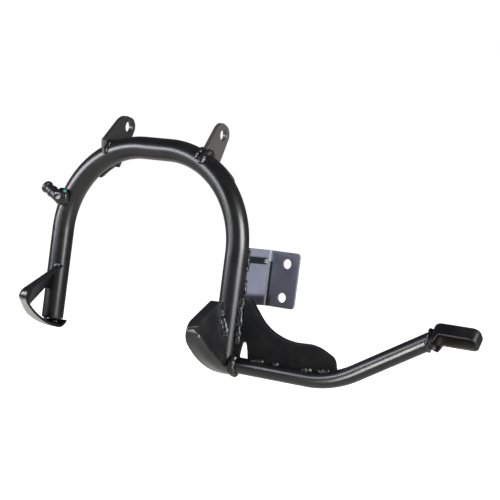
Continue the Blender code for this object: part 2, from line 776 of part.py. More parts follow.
def lug_bead(name, side, face, start, end, cutters):
    """A bead where one face of a lug crosses the bend, by its start and end angle round the tube."""
    x = LUG_X[side] + face * (LUG_THICK / 2 + GAP + BEAD_REST)
    lean = math.asin((x - CROWN_HALF) / BEND_RADIUS)
    middle = BEND_RADIUS * (math.cos(lean) - 1)
    radius = TUBE_R + BEAD_REST
    path = []
    for y, z in arc((0, 0), radius, start, end, 12):
        path.append(Vector((side * x, y, middle + z / math.cos(lean))))
    return bead(name, path, cutters, THIN_BEAD)


def make_frame_welds(bow, arm, web, tail_left, tail_right):
    """Beads of the lugs and of the gusset."""
    plates = {}
    for side in (-1, 1):
        block = [(-0.05, -0.05), (0.06, -0.05), (0.06, 0.06), (-0.05, 0.06)]
        plates[side] = slab("lug_slab_%d" % side, block, LUG_THICK, facing_x(side * LUG_X[side]))
    lug_bead("weld_lug_left_inner", -1, -1, 184, 30, [bow, plates[-1], tail_left])
    lug_bead("weld_lug_right_inner", 1, -1, 172, 60, [bow, plates[1], tail_right])
    lug_bead("weld_lug_right_outer", 1, 1, 178, 40, [bow, plates[1], tail_right])
    front = WEB_Y - GUSSET_THICK / 2 - GAP - BEAD_REST
    leg_side = LEG_X + TUBE_R + 2 * BEAD_REST
    seam = []
    for k, up in enumerate((1, 0.76, 0.52, 0.29)):
        seam.append(Vector((leg_side + BEAD_REST * k, front, web_point(0, up)[1])))
    bead("weld_gusset_leg", seam, [bow, web], LEG_BEAD)
    for k, (start, end) in enumerate(((0.246, 0.377), (0.457, 0.514), (0.710, 0.804), (0.855, 0.957))):
        path = []
        for i in range(4):
            centre = arm_centre(web_point(start + (end - start) * i / 3, 0)[0])
            path.append(centre + Vector((0, front - WEB_Y, ARM_R + GAP)))
        bead("weld_gusset_arm_%d" % (k + 1), path, [arm, web])


def make_foot_welds(left, right, bow, shell_left, shell_right):
    """Beads where the feet's walls cross the legs, and one on the left sole."""
    limb = leg_seam(left, ((-0.787, -0.04), (-0.236, 0.28), (0.157, 0.98), (0.551, 1.77), (0.748, 2.20)))
    bead("weld_foot_left_limb", limb, [bow], THIN_BEAD, shell_left, "MANIFOLD")
    sole = []
    for across in (-0.866, -0.709, -0.551):
        sole.append(Vector((-LEG_X - TUBE_R * across, -0.0040, LEFT_END_Z - 0.0034)))
    bead("weld_foot_left_sole", sole, [bow], BEAD_RADIUS, shell_left, "MANIFOLD")
    places = ((-0.66, 0.72), (-0.55, 0.90), (-0.25, 1.40), (0.00, 1.90), (0.24, 2.45), (0.46, 3.03))
    places += ((0.60, 3.45),)
    bead("weld_foot_right_wall", leg_seam(right, places), [bow], WALL_BEAD, shell_right)


def peg_ring(start, direction, out):
    """Where a ring round the peg meets the tube."""
    middle = start + Vector((0, PEG_FRONT, 0))
    along = Vector((out.z, 0, -out.x))
    u = direction.cross(Vector((0, 1, 0))).normalized()
    v = direction.cross(u)
    made = []
    for c, s in arc((0, 0), 1.15 * PEG_SHANK + 0.0012, -160, 160, 14):
        q = u * c + v * s
        q = q + Vector((0, -PEG_FRONT, 0))
        q_across = q - along * q.dot(along)
        d_across = direction - along * direction.dot(along)
        a = d_across.length_squared
        b = q_across.dot(d_across)
        rest = q_across.length_squared - (TUBE_R + BEAD_REST) ** 2
        made.append(middle + q + direction * (-b + math.sqrt(max(0.0, b * b - a * rest))) / a)
    return made


def make_small_welds(bow, arm, web):
    """Beads of the peg, the arm's two ends and the bracket."""
    start, out, direction = peg_axis()
    shank = [start, start + direction * (TUBE_R + PEG_LENGTH)]
    peg_room = add_cutter(rod("peg_room", shank, 1.15 * PEG_SHANK + GAP, 16))
    bead("weld_spring_peg", peg_ring(start, direction, out), [bow, peg_room], WALL_BEAD)
    root_x = LEG_X + TUBE_R + ROOT_BEAD
    root = [Vector((root_x, WEB_Y + y, z + ARM_Z)) for y, z in arc((0, 0), ARM_R + BEAD_REST, 105, 290, 14)]
    bead("weld_arm_root", root, [bow, arm, web], ROOT_BEAD)
    end_x = TREAD_X - TREAD_LENGTH / 2 - GAP - 0.86 * PEDAL_BEAD
    lean = math.cos(math.radians(ARM_RISE))
    middle = arm_centre(end_x)
    ring = [middle + Vector((0, y, z / lean)) for y, z in arc((0, 0), ARM_R + BEAD_REST, 100, 262, 12)]
    reach = 3 * ARM_OD
    block = [(-reach, middle.z + reach), (reach, middle.z + reach)]
    block += [(reach, middle.z - reach), (-reach, middle.z - reach)]
    tread = slab("tread_slab", block, ARM_OD, facing_x(TREAD_X - TREAD_LENGTH / 2 + ARM_R))
    bead("weld_pedal", ring, [arm, tread], PEDAL_BEAD)
    sheet_x = BRACKET_BESIDE + BRACKET_SHEET / 2 + GAP + BEAD_REST
    top = -BRACKET_TOP + TUBE_OD
    bottom = -BRACKET_TOP - BRACKET_HEIGHT - TUBE_OD
    block = [(0, top), (BRACKET_REACH, top), (BRACKET_REACH, bottom), (0, bottom)]
    sheet = slab("bracket_slab", block, BRACKET_SHEET, facing_x(LEG_X + BRACKET_BESIDE))
    for name, start, end in (("weld_bracket_upper", 0.040, 0.427), ("weld_bracket_lower", 0.556, 0.960)):
        heights = [-BRACKET_TOP - BRACKET_HEIGHT * share for share in (start, end)]
        seam = [on_leg(1, sheet_x, z, front=-1) for z in heights]
        bead(name, seam, [sheet, bow], BRACKET_BEAD)


clear_scene()
PARTS = new_collection("centre_stand")
CUTTERS = new_collection("cutters")
CROWN = link_new("crown_of_bow", None)
CROWN.location = (0.0, -PIVOT_BEHIND, -PIVOT_ABOVE)

make_bow()
BOW_ROOM = bow_room()
ARM_ROOM = arm_room()
WEB_ROOM = web_room()
TAIL_ROOM = {side: add_cutter(lug_tail(side, GAP)) for side in (-1, 1)}
make_lugs(BOW_ROOM)
make_peg(BOW_ROOM)
FEET = make_feet(BOW_ROOM)
make_arm()
make_gusset(BOW_ROOM, ARM_ROOM)
make_tread()
make_bracket(BOW_ROOM)
make_frame_welds(BOW_ROOM, ARM_ROOM, WEB_ROOM, TAIL_ROOM[-1], TAIL_ROOM[1])
make_foot_welds(FEET[0], FEET[1], BOW_ROOM, FEET[2], FEET[3])
make_small_welds(BOW_ROOM, ARM_ROOM, WEB_ROOM)
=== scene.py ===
import math

import bmesh
import bpy
import numpy as np
from mathutils import Matrix, Vector


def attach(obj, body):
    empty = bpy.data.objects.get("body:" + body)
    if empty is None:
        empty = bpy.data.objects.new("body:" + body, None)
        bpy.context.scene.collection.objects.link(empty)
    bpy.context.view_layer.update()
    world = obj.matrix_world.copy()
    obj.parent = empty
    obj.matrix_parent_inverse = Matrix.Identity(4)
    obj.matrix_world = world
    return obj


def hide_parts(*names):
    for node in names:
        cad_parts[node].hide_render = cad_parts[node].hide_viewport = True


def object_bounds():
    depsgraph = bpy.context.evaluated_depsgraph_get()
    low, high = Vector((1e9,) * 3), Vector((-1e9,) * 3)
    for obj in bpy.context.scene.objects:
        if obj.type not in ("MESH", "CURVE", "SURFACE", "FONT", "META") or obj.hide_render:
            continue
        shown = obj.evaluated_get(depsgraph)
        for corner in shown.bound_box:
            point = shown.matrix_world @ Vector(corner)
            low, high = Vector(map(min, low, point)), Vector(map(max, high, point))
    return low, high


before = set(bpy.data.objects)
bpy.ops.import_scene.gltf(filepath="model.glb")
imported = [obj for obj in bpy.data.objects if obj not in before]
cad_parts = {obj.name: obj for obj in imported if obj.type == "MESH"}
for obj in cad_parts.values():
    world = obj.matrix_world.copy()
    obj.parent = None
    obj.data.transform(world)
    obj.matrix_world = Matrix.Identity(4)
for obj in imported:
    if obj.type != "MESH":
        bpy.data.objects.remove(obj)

cadBox = [[float(v) for v in corner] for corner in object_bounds()]

# The crown of the bow's centre line, from the middle of the pivot axis. Shapes below are laid out from it.
crown = np.array([0.0, -0.0265, -0.024])

# Grids, lines and meshes that the pieces share


def turns(count):
    # angles evenly spaced round a whole turn
    return np.linspace(0, 2 * np.pi, count, endpoint=False)


def unit(vectors):
    # the same directions with length 1
    return vectors / np.linalg.norm(vectors, axis=-1, keepdims=True)


def shell(grid, wrapRows=False, poles=True):
    # a grid of points as (points, faces): quads between neighbours, each row joined round on itself; the last row
    # is joined to the first, or each end row is closed on its own mean point
    rows, cols = grid.shape[:2]
    points = grid.reshape(-1, 3)
    count = len(points)
    r = np.arange(rows if wrapRows else rows - 1)[:, None] * cols
    r2 = (r + cols) % count
    c = np.arange(cols)
    c2 = np.roll(c, -1)
    faces = np.stack([r + c, r + c2, r2 + c2, r2 + c], axis=-1).reshape(-1, 4).tolist()
    if poles and not wrapRows:
        points = np.vstack([points, grid[0].mean(axis=0), grid[-1].mean(axis=0)])
        last = count - cols
        faces += np.stack([c2, c, np.full(cols, count)], axis=1).tolist()
        faces += np.stack([last + c, last + c2, np.full(cols, count + 1)], axis=1).tolist()
    return points, faces


def outward(points, faces):
    # turns a closed shell's faces out, by the sign of its volume
    tri = np.array([[f[0], f[i], f[i + 1]] for f in faces for i in range(1, len(f) - 1)])
    a, b, c = points[tri.T]
    volume = np.einsum("ij,ij->i", a, np.cross(b, c)).sum()
    return [f[::-1] for f in faces] if volume < 0 else faces


def meshOf(name, shells):
    # one mesh from closed shells, laid out from the crown
    allPoints, allFaces, start = [], [], 0
    for points, faces in shells:
        faces = outward(points, faces)
        allPoints.append(points)
        allFaces += [[i + start for i in f] for f in faces]
        start += len(points)
    mesh = bpy.data.meshes.new(name)
    mesh.from_pydata(np.vstack(allPoints) + crown, [], allFaces)
    mesh.validate()
    return mesh


def placed(name, data):
    # a new object in the scene
    made = bpy.data.objects.new(name, data)
    bpy.context.scene.collection.objects.link(made)
    return made


def carved(name, base, tools):
    # a closed mesh less closed tools, worked out once, so that no Boolean stays live
    holder = placed(name, base)
    helpers = [placed(name + "Tool", tool) for tool in tools]
    for helper in helpers:
        cut = holder.modifiers.new("cut", "BOOLEAN")
        cut.operation, cut.solver, cut.object = "DIFFERENCE", "MANIFOLD", helper
    bpy.context.view_layer.update()
    mesh = bpy.data.meshes.new_from_object(holder.evaluated_get(bpy.context.evaluated_depsgraph_get()))
    for helper in helpers + [holder]:
        bpy.data.objects.remove(helper, do_unlink=True)
    print(name, "carved,", len(mesh.polygons), "faces")
    return mesh


def prism(name, outline, span, axis):
    # a closed outline drawn out along one axis: its own two numbers fill the other two axes in order
    outline = np.asarray(outline, float)
    count = len(outline)
    points = np.zeros((2, count, 3))
    points[..., [k for k in range(3) if k != axis]] = outline
    points[0, :, axis], points[1, :, axis] = span
    c = np.arange(count)
    sides = np.stack([c, np.roll(c, -1), np.roll(c, -1) + count, c + count], axis=1).tolist()
    return meshOf(name, [(points.reshape(-1, 3), sides + [c[::-1].tolist(), (c + count).tolist()])])


bevelAngle = 40.0


def finishPiece(name, mesh, node, material, sharp, bevel=0.0, added=False):
    # puts a mesh in the scene in place of a CAD node, or added to one
    piece = placed(name, mesh)
    mesh.shade_smooth()
    mesh.set_sharp_from_angle(angle=math.radians(sharp))
    mesh.materials.clear()
    mesh.materials.append(material)
    if bevel:
        edge = piece.modifiers.new("edge", "BEVEL")
        edge.width, edge.segments, edge.limit_method = bevel, 2, "ANGLE"
        edge.angle_limit, edge.harden_normals = math.radians(bevelAngle), True
    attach(piece, "root")
    if not added:
        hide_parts(node)
    return piece


def makePiece(name, shells, node, material, sharp, added=False):
    # one piece from closed shells
    return finishPiece(name, meshOf(name, shells), node, material, sharp, added=added)


def arcPoints(centre, radius, start, end, steps):
    # centre + radius * (cos, sin) of angles in degrees
    a = np.radians(np.linspace(start, end, steps + 1))
    return np.stack([centre[0] + radius * np.cos(a), centre[1] + radius * np.sin(a)], axis=1)


foldLimit = 0.48


def roundedLine(corners, radii, steps=10):
    # a polyline whose inner corners are replaced by parabolas that touch both sides
    corners = np.asarray(corners, float)
    made = [corners[:1]]
    t = np.linspace(0, 1, steps)[:, None]
    for i, radius in enumerate(radii):
        before, corner, after = corners[i:i + 3]
        back, on = before - corner, after - corner
        lb, lo = np.linalg.norm(back), np.linalg.norm(on)
        reach = min(radius, foldLimit * lb, foldLimit * lo)
        first, last = corner + back / lb * reach, corner + on / lo * reach
        made.append(first * (1 - t) ** 2 + corner * 2 * t * (1 - t) + last * t**2)
    made.append(corners[-1:])
    return np.vstack(made)


def along(points, where):
    # points at fractions of a polyline's length
    steps = np.linalg.norm(np.diff(points, axis=0), axis=1)
    lengths = np.concatenate([[0], np.cumsum(steps)])
    goal = np.asarray(where) * lengths[-1]
    return np.stack([np.interp(goal, lengths, points[:, k]) for k in range(points.shape[1])], axis=-1)


cycle = 6.28


def wander(shape, seed, waves, reach):
    # a smooth random field: a sum of slow sines over both directions of a grid
    rng = np.random.default_rng(seed)
    u = np.linspace(0, 1, shape[0])[:, None]
    v = np.linspace(0, 2 * np.pi, shape[1])[None, :]
    field = np.zeros(shape)
    for _ in range(waves):
        a, p, q = rng.uniform(1, reach), rng.uniform(0, cycle), rng.integers(0, 3)
        field += np.sin(cycle * a * u + p + q * v)
    return field / waves


print("surfaces ready")

# The bow tube

bow = {"od": 0.0254, "wall": 0.0023, "bend": 0.104, "crownHalf": 0.018, "leftLeg": 0.105, "rightLeg": 0.121,
       "sides": 96, "steps": 220, "rim": 0.0005}
weldGap = 0.0003
legX = bow["crownHalf"] + bow["bend"]
tubeR = bow["od"] / 2


def bowAt(s):
    # centre line by length from the left leg's end: leg, quarter circle, crown, quarter circle, leg
    r, across = bow["bend"], 2 * bow["crownHalf"]
    quarter = r * math.pi / 2
    stops = np.cumsum([bow["leftLeg"], quarter, across, quarter, bow["rightLeg"]])
    a, b = (np.clip((s - stops[k]) / r, 0, math.pi / 2) for k in (0, 2))
    up, down = np.clip(s, None, stops[0]), np.clip(s - stops[3], 0, None)
    x = r * (1 - np.cos(a) + np.sin(b)) + np.clip(s - stops[1], 0, across) - legX
    z = r * (np.sin(a) + np.cos(b) - 2) + up - down - bow["leftLeg"]
    place = np.stack([x, 0 * x, z], axis=-1)
    normal = np.stack([-np.cos(a + b), 0 * x, np.sin(a + b)], axis=-1)
    return place, normal, stops[-1]


def tubeSurface(centre, tube):
    # a circle of radius r(u) carried along a plane curve: along the outside, round the rim, back along the bore
    outer, rim, steps = tube["od"] / 2, tube["rim"], tube["steps"]
    inner, length = outer - tube["wall"], centre(np.zeros(1))[2]
    s = np.linspace(rim, length - rim, steps)
    u = np.concatenate([s, [length, length], s[::-1], [0, 0]])
    r = np.concatenate([np.full(steps, outer), [outer - rim, inner + rim], np.full(steps, inner),
                        [inner + rim, outer - rim]])
    place, normal, _ = centre(u)
    v = turns(tube["sides"])
    side = np.array([0.0, 1.0, 0.0])
    ring = np.cos(v)[None, :, None] * normal[:, None, :] + np.sin(v)[None, :, None] * side
    return place[:, None, :] + r[:, None, None] * ring


# The pedal arm

arm = {"od": 0.018, "wall": 0.002, "drop": 0.2235, "levelEnd": 0.227, "bend": 0.11, "rise": 30.0,
       "y": 0.002, "rootGap": 0.002, "end": 0.3635, "sides": 72, "steps": 120, "rim": 0.0005}
armR = arm["od"] / 2


def armAt(s):
    # centre line by length from the leg: level run, one upward bend, straight run
    start, rise, r = legX + tubeR + arm["rootGap"], math.radians(arm["rise"]), arm["bend"]
    level = arm["levelEnd"] - start
    turn = np.clip((s - level) / r, 0, rise)
    last = np.clip(s - level - r * rise, 0, None)
    x = start + np.clip(s, None, level) + r * np.sin(turn) + last * math.cos(rise)
    z = r * (1 - np.cos(turn)) + last * math.sin(rise) - arm["drop"]
    straight = (arm["end"] - arm["levelEnd"] - r * math.sin(rise)) / math.cos(rise)
    place = np.stack([x, np.full_like(x, arm["y"]), z], axis=-1)
    normal = np.stack([-np.sin(turn), 0 * x, np.cos(turn)], axis=-1)
    return place, normal, level + r * rise + straight


def armAtX(x):
    # the arm's centre line at given X, read off its length
    place = armAt(np.linspace(0, armAt(np.zeros(1))[2], 400))[0]
    return np.stack([x, np.full_like(x, arm["y"]), np.interp(x, place[:, 0], place[:, 2])], axis=-1)


# The lugs and the gusset

lug = {"x": {-1: 0.0675, 1: 0.0655}, "thick": 0.006, "hole": 0.0065, "land": 0.0118, "edge": 0.0007,
       "left": ((-0.015, 0.004), (0.01, 0.0318), (0.018, 0.0362)),
       "right": ((-0.005, 0.002), (0.015, 0.033), (0.0215, 0.0375)),
       "headFolds": (0.006, 0.01), "headBack": 0.4, "landTurn": (66, -18), "rear": 0.0055, "low": -0.0245,
       "heel": (0.002, -0.012), "tailLength": 0.034, "tailInset": 0.0095, "tailWidth": 0.018, "tailThick": 0.004,
       "tailStart": 0.02, "tailEnd": (0.995, 0.97, 0.93, 0.85), "tailCorners": (0.25, 0.4), "tailRows": 24,
       "tailSides": 48}
eye = np.array([-crown[1], -crown[2]])


def lugOutline(front, topFront, top):
    # straight front edge, arc round the eye, straight rear edge down to the foot behind the tube
    land = lug["land"]
    head = roundedLine([front, topFront, top, (eye[0] + lug["headBack"] * land, eye[1] + land)], lug["headFolds"])
    heel = [front[0] + lug["heel"][0], front[1] + lug["heel"][1]]
    return np.vstack([head[:-1], arcPoints(eye, land, *lug["landTurn"], 24),
                      [[tubeR + lug["rear"], lug["low"]], [0.0, lug["low"]], heel]])


def cross(a, b):
    # the flat cross product
    return a[..., 0] * b[..., 1] - a[..., 1] * b[..., 0]


def eyePlate(outline, x, count=360):
    # a plate with one eye: a closed loop, face, rim, face, bore, carried round the eye out to where each evenly
    # turned ray meets the outline
    angles = turns(count)
    d = np.stack([np.cos(angles), np.sin(angles)], axis=1)[:, None, :]
    a = (outline - eye)[None]
    e = np.roll(a, -1, axis=1) - a
    area = cross(d, e)
    area = np.where(np.abs(area) < 1e-12, 1e-12, area)
    t, w = cross(a, e) / area, cross(a, d) / area
    reach = np.where((w >= -1e-6) & (w <= 1 + 1e-6) & (t > 0), t, np.inf).min(axis=1)
    h, edge = lug["thick"] / 2, lug["edge"]
    inner, outer = lug["hole"] + edge, reach - edge
    turn = np.radians((30, 60, 90))
    out, back = edge * np.sin(turn), edge * (1 - np.cos(turn))
    face = [inner + (outer - inner) * k for k in (0.0, 0.15, 0.4, 0.7, 0.92, 1.0)] + [outer + k for k in out]
    depth = [h] * 6 + [h - k for k in back]
    bore = [inner - k + 0 * reach for k in out]
    rho = np.stack(face + face[::-1] + bore + bore[::-1], axis=1)
    depth = np.array(depth + [-k for k in depth[::-1]] + [k - h for k in back] + [h - k for k in back[::-1]])
    y = eye[0] + rho * np.cos(angles)[:, None]
    z = eye[1] + rho * np.sin(angles)[:, None]
    return np.stack([x + depth[None, :] + 0 * y, y, z], axis=-1)


def lugTail(side):
    # a rounded strip behind the tube, carried along the bend
    turn = math.asin((lug["x"][side] - bow["crownHalf"]) / bow["bend"])
    a = np.linspace(turn - lug["tailStart"], turn + lug["tailLength"] / bow["bend"], lug["tailRows"])
    w, h = lug["tailWidth"] / 2, lug["tailThick"] / 2
    v = turns(lug["tailSides"])
    flat, square = lug["tailCorners"]
    across = np.sign(np.cos(v)) * w * np.abs(np.cos(v)) ** flat
    deep = np.sign(np.sin(v)) * h * np.abs(np.sin(v)) ** square
    shrink = np.ones(lug["tailRows"])
    shrink[-len(lug["tailEnd"]):] = lug["tailEnd"]
    r = bow["bend"] - lug["tailInset"] + w + across[None, :] * shrink[:, None]
    x = side * (bow["crownHalf"] + r * np.sin(a)[:, None])
    z = r * np.cos(a)[:, None] - bow["bend"]
    y = tubeR + weldGap + h + deep[None, :] * shrink[:, None]
    return np.stack([x, y + 0 * x, z], axis=-1)


gusset = {"y": 0.002, "thick": 0.0045, "edge": 0.0006, "rise": 0.0745, "reach": 0.138, "lap": 0.004,
          "crest": ((0.174, 1.007), (0.362, 0.604), (0.58, 0.463), (0.804, 0.497), (0.978, 0.349), (1, 0.195)),
          "notch": ((0.207, 0.25), (0.187, 0.355), (0.15, 0.34), (0.135, 0.2)),
          "footShares": (0.133, 0.226, 0.957), "topFolds": (1.5, 5, 6.5, 5.5, 3.5),
          "lowFolds": (0.2, 1, 0.6, 0.6, 1, 0.2, 1), "edgeMost": 0.45}


def webPoint(share, up):
    # a point of the web as shares of its reach from the leg's axis and of its rise above the arm's
    return legX + gusset["reach"] * share, -arm["drop"] + gusset["rise"] * up


def gussetSurface(count=420):
    # a plate between its upper and its lower edge, sampled together so that each section stands upright: a rounded
    # bar across the thickness
    lap = gusset["lap"]
    left, bottom = legX + tubeR - lap, armR - arm["drop"] - lap
    top = roundedLine([(left, webPoint(0, 1)[1])] + [webPoint(*place) for place in gusset["crest"]],
                      [lap * k for k in gusset["topFolds"]])
    notch = [webPoint(*place) for place in gusset["notch"]]
    before, after, last = ((webPoint(share, 0)[0], bottom) for share in gusset["footShares"])
    low = [(left, bottom), before] + notch[::-1] + [after, last, webPoint(*gusset["crest"][-1])]
    low = roundedLine(low, [lap * k for k in gusset["lowFolds"]])
    low = along(low, np.linspace(0, 1, count))
    low[:, 0] = np.maximum.accumulate(low[:, 0] + np.linspace(0, 1e-5, count))
    top = np.stack([low[:, 0], np.interp(low[:, 0], top[:, 0], top[:, 1])], axis=1)
    low[:, 1] = np.minimum(low[:, 1], top[:, 1])
    h, span = gusset["thick"] / 2, top - low
    length = np.linalg.norm(span, axis=1, keepdims=True)
    way = span / np.maximum(length, 1e-9)
    e = np.minimum(gusset["edge"], gusset["edgeMost"] * length)
    corner = [(math.sin(turn), 1 - math.cos(turn)) for turn in np.radians([0, 30, 60, 90])]
    far = [(e + (length - 2 * e) * k, 0 * e + h) for k in np.linspace(0, 1, 10)[1:-1]]
    far += [(length - e + e * a, h - e * b) for a, b in corner]
    near = [(e - e * a, e * b - h) for a, b in corner]
    section = far + [(a, -b) for a, b in far[::-1]] + near + [(a, -b) for a, b in near[::-1]]
    s, d = (np.concatenate([point[k] for point in section], axis=1) for k in (0, 1))
    place = low[:, None, :] + way[:, None, :] * s[..., None]
    return np.stack([place[..., 0], gusset["y"] + d, place[..., 1]], axis=-1)


# The pressed feet. Trim and window are in tube widths, from the sole's end and from the leg's end.
feet = {"sheet": 0.003, "strip": 0.01, "sole": 0.017, "rise": 0.011, "riseMost": 0.45, "thin": 0.4,
        "creases": (0.006, 0.017, 0.006), "creaseMost": 0.47, "stripGrow": 4, "soleGrow": 1.9, "bulge": 0.1,
        "crowd": 1.5, "ridgeInset": 1.15, "lip": 0.014, "lipTurn": 75.0, "lipSteps": 24, "innerX": legX - tubeR,
        "limbY": 0.004, "trimFront": (-0.06, 0.29), "trimRear": (1.5, 0.44), "trimStep": (-0.24, 1.2),
        "windowTop": ((-0.16, 1.36), (-0.74, 1.36)), "windowRim": 0.0065, "windowTurn": (241, 262),
        "windowSpan": (-1.14, 0.06), "trimOver": 2, "cutSpan": 1.5, "bevel": 0.0004, "ridgeGrow": 0.5,
        # On the left foot the last entry is a painted light: a pale grey on faces that turn down, in place of light
        # from the floor.
        "left": {"side": -1, "end": -0.209, "below": 0.0105, "above": 0.0636, "rocker": 0.1093,
                 "rockerY": 0.01, "soleEnd": 263.5, "slope": 28.6, "nose": 0.012, "noseWidth": 0.0035,
                 "paintedFloorLight": (0.34, 0.33, 0.3)},
        "right": {"side": 1, "end": -0.225, "below": 0.013, "above": 0.0744, "rocker": 0.13,
                  "rockerY": 0.0317, "soleEnd": 265.5, "slope": 32.5, "nose": 0.017, "noseWidth": 0.013,
                  "limbCut": 0.0072}}


def footEdges(f, inset, over):
    # the foot's two edges from the side, from the middle of the nose: back along the limb, and round the sole
    centre = np.array([f["rockerY"], f["end"] - f["below"] + f["rocker"]])
    limb = np.array([-tubeR + feet["limbY"], f["end"] + f["above"]])
    slope = math.radians(f["slope"])
    run, fall = math.cos(slope), math.sin(slope)
    forward, inward = np.array([-run, -fall]), np.array([fall, -run])
    start = limb + inward * f["nose"] - centre
    reach = f["rocker"] - f["nose"]
    travel = -start @ forward + math.sqrt((start @ forward) ** 2 - start @ start + reach**2)
    nose = centre + start + forward * travel
    topTurn = math.degrees(math.atan2(-inward[1], -inward[0]))
    lowTurn = math.degrees(math.atan2(*(nose - centre)[::-1])) % 360
    middle = (topTurn + lowTurn) / 2
    r, lip, end = f["nose"] - inset, feet["lip"], f["soleEnd"]
    upper = np.vstack([arcPoints(nose, r, middle, topTurn, 24), [limb + inward * inset - forward * over]])
    lipAt = arcPoints(centre, f["rocker"] - lip, end, end, 1)[0]
    lipEnd = end + feet["lipTurn"] + math.degrees(over / lip)
    lower = [arcPoints(nose, r, middle, lowTurn, 24), arcPoints(centre, f["rocker"] - inset, lowTurn, end, 80)[1:],
             arcPoints(lipAt, lip - inset, end, lipEnd, feet["lipSteps"])[1:]]
    return upper, np.vstack(lower), centre


def footForm(name, f, inset, over, rows=90, steps=14):
    # rib by rib from the nose: strip, leaning wall, ridge, sole, with parabolas at the three folds
    u = np.linspace(0, 1, rows)
    upper, lower, _ = footEdges(f, inset, over)
    top, low = along(upper, u ** feet["crowd"]), along(lower, u ** feet["crowd"])
    height = np.linalg.norm(low - top, axis=1)
    thin, bulge = feet["thin"] * inset, feet["bulge"] * bow["od"]
    strip, sole = (f["noseWidth"] + (feet[word] - f["noseWidth"]) * np.minimum(1, feet[word + "Grow"] * u)
                   for word in ("strip", "sole"))
    ridge = sole + bulge + (bow["od"] - feet["sole"] - bulge) * u ** feet["ridgeGrow"] - feet["ridgeInset"] * inset
    rise = np.minimum(feet["rise"], feet["riseMost"] * height)
    zero = 0 * u
    corners = np.array([(zero - over, zero), (strip - thin, zero), (ridge, height - rise), (sole - thin, height),
                        (zero - over, height)]).transpose(2, 0, 1)
    t = np.linspace(0, 1, steps)[None, :, None]
    parts = [corners[:, :1]]
    for k, crease in zip((1, 2, 3), feet["creases"]):
        corner, ends = corners[:, k], []
        for way in (corners[:, k - 1] - corner, corners[:, k + 1] - corner):
            share = crease / np.maximum(np.linalg.norm(way, axis=1, keepdims=True), 1e-9)
            ends.append((corner + way * np.minimum(feet["creaseMost"], share))[:, None])
        parts.append(ends[0] * (1 - t) ** 2 + corner[:, None] * 2 * t * (1 - t) + ends[1] * t**2)
    parts.append(corners[:, -1:])
    profile = np.concatenate(parts, axis=1)
    down = (low - top) / np.maximum(height, 1e-9)[:, None]
    place = top[:, None] + down[:, None] * profile[..., 1:]
    grid = np.stack([f["side"] * (feet["innerX"] + profile[..., 0]), place[..., 0], place[..., 1]], axis=-1)
    points, faces = shell(grid, poles=False)
    faces.append(list(range(len(points) - grid.shape[1], len(points))))
    mesh = meshOf(name, [(points, faces)])
    work = bmesh.new()
    work.from_mesh(mesh)
    bmesh.ops.remove_doubles(work, verts=work.verts, dist=1e-6)
    bmesh.ops.dissolve_degenerate(work, edges=work.edges, dist=1e-7)
    bmesh.ops.recalc_face_normals(work, faces=work.faces)
    work.to_mesh(mesh)
    work.free()
    return mesh


def footSheet(name, f):
    # the pressed sheet: outer form less inner form, less the wall's trim, the window or the limb's cut, the leg
    od, leg = bow["od"], f["side"] * legX
    limbTop, sole = f["end"] + f["above"], footEdges(f, 0, 0)[1][-1 - feet["lipSteps"]][1]
    high = limbTop + feet["trimOver"] * od
    front, rear, step = ((od * y, sole + od * z) for y, z in (feet["trim" + k] for k in ("Front", "Rear", "Step")))
    tools = [footForm("inside", f, feet["sheet"], 2 * feet["sheet"]),
             prism("trim", [front, rear, (rear[0], high), (step[0], high), step], (leg - od, leg + od), 0)]
    if f["side"] < 0:
        window = [(od * y, f["end"] + od * z) for y, z in feet["windowTop"]]
        rim = f["rocker"] - feet["windowRim"]
        window += arcPoints(footEdges(f, 0, 0)[2], rim, *feet["windowTurn"], 30).tolist()
        tools.append(prism("window", window, [leg + od * k for k in feet["windowSpan"]], 0))
    else:
        cut, half = limbTop - f["limbCut"], feet["cutSpan"] * od
        block = [(-od, cut), (od, cut), (od, cut + od), (-od, cut + od)]
        tools.append(prism("limbCut", block, (leg - half, leg + half), 0))
    ring = arcPoints((leg, 0), tubeR + weldGap, 0, 360, 96)[:-1]
    tools.append(prism("leg", ring, (f["end"] - weldGap, -bow["bend"]), 2))
    return carved(name, footForm("outside", f, 0.0, 0.0), tools)


print("pieces laid out")

# Weld beads

beads = {"sides": 28, "perPitch": 14, "pitch": 0.0062, "ripple": 0.09, "lag": 0.9, "lean": 1.6, "lumps": 0.5,
         "lumpWaves": 6, "lumpLength": 0.009, "crowd": 0.35, "off": 0.0006, "ringOff": 0.0004,
         "ringLean": 0.7, "thinnest": 0.02, "leastRows": 40, "endTurn": 0.06, "endShare": 0.001}


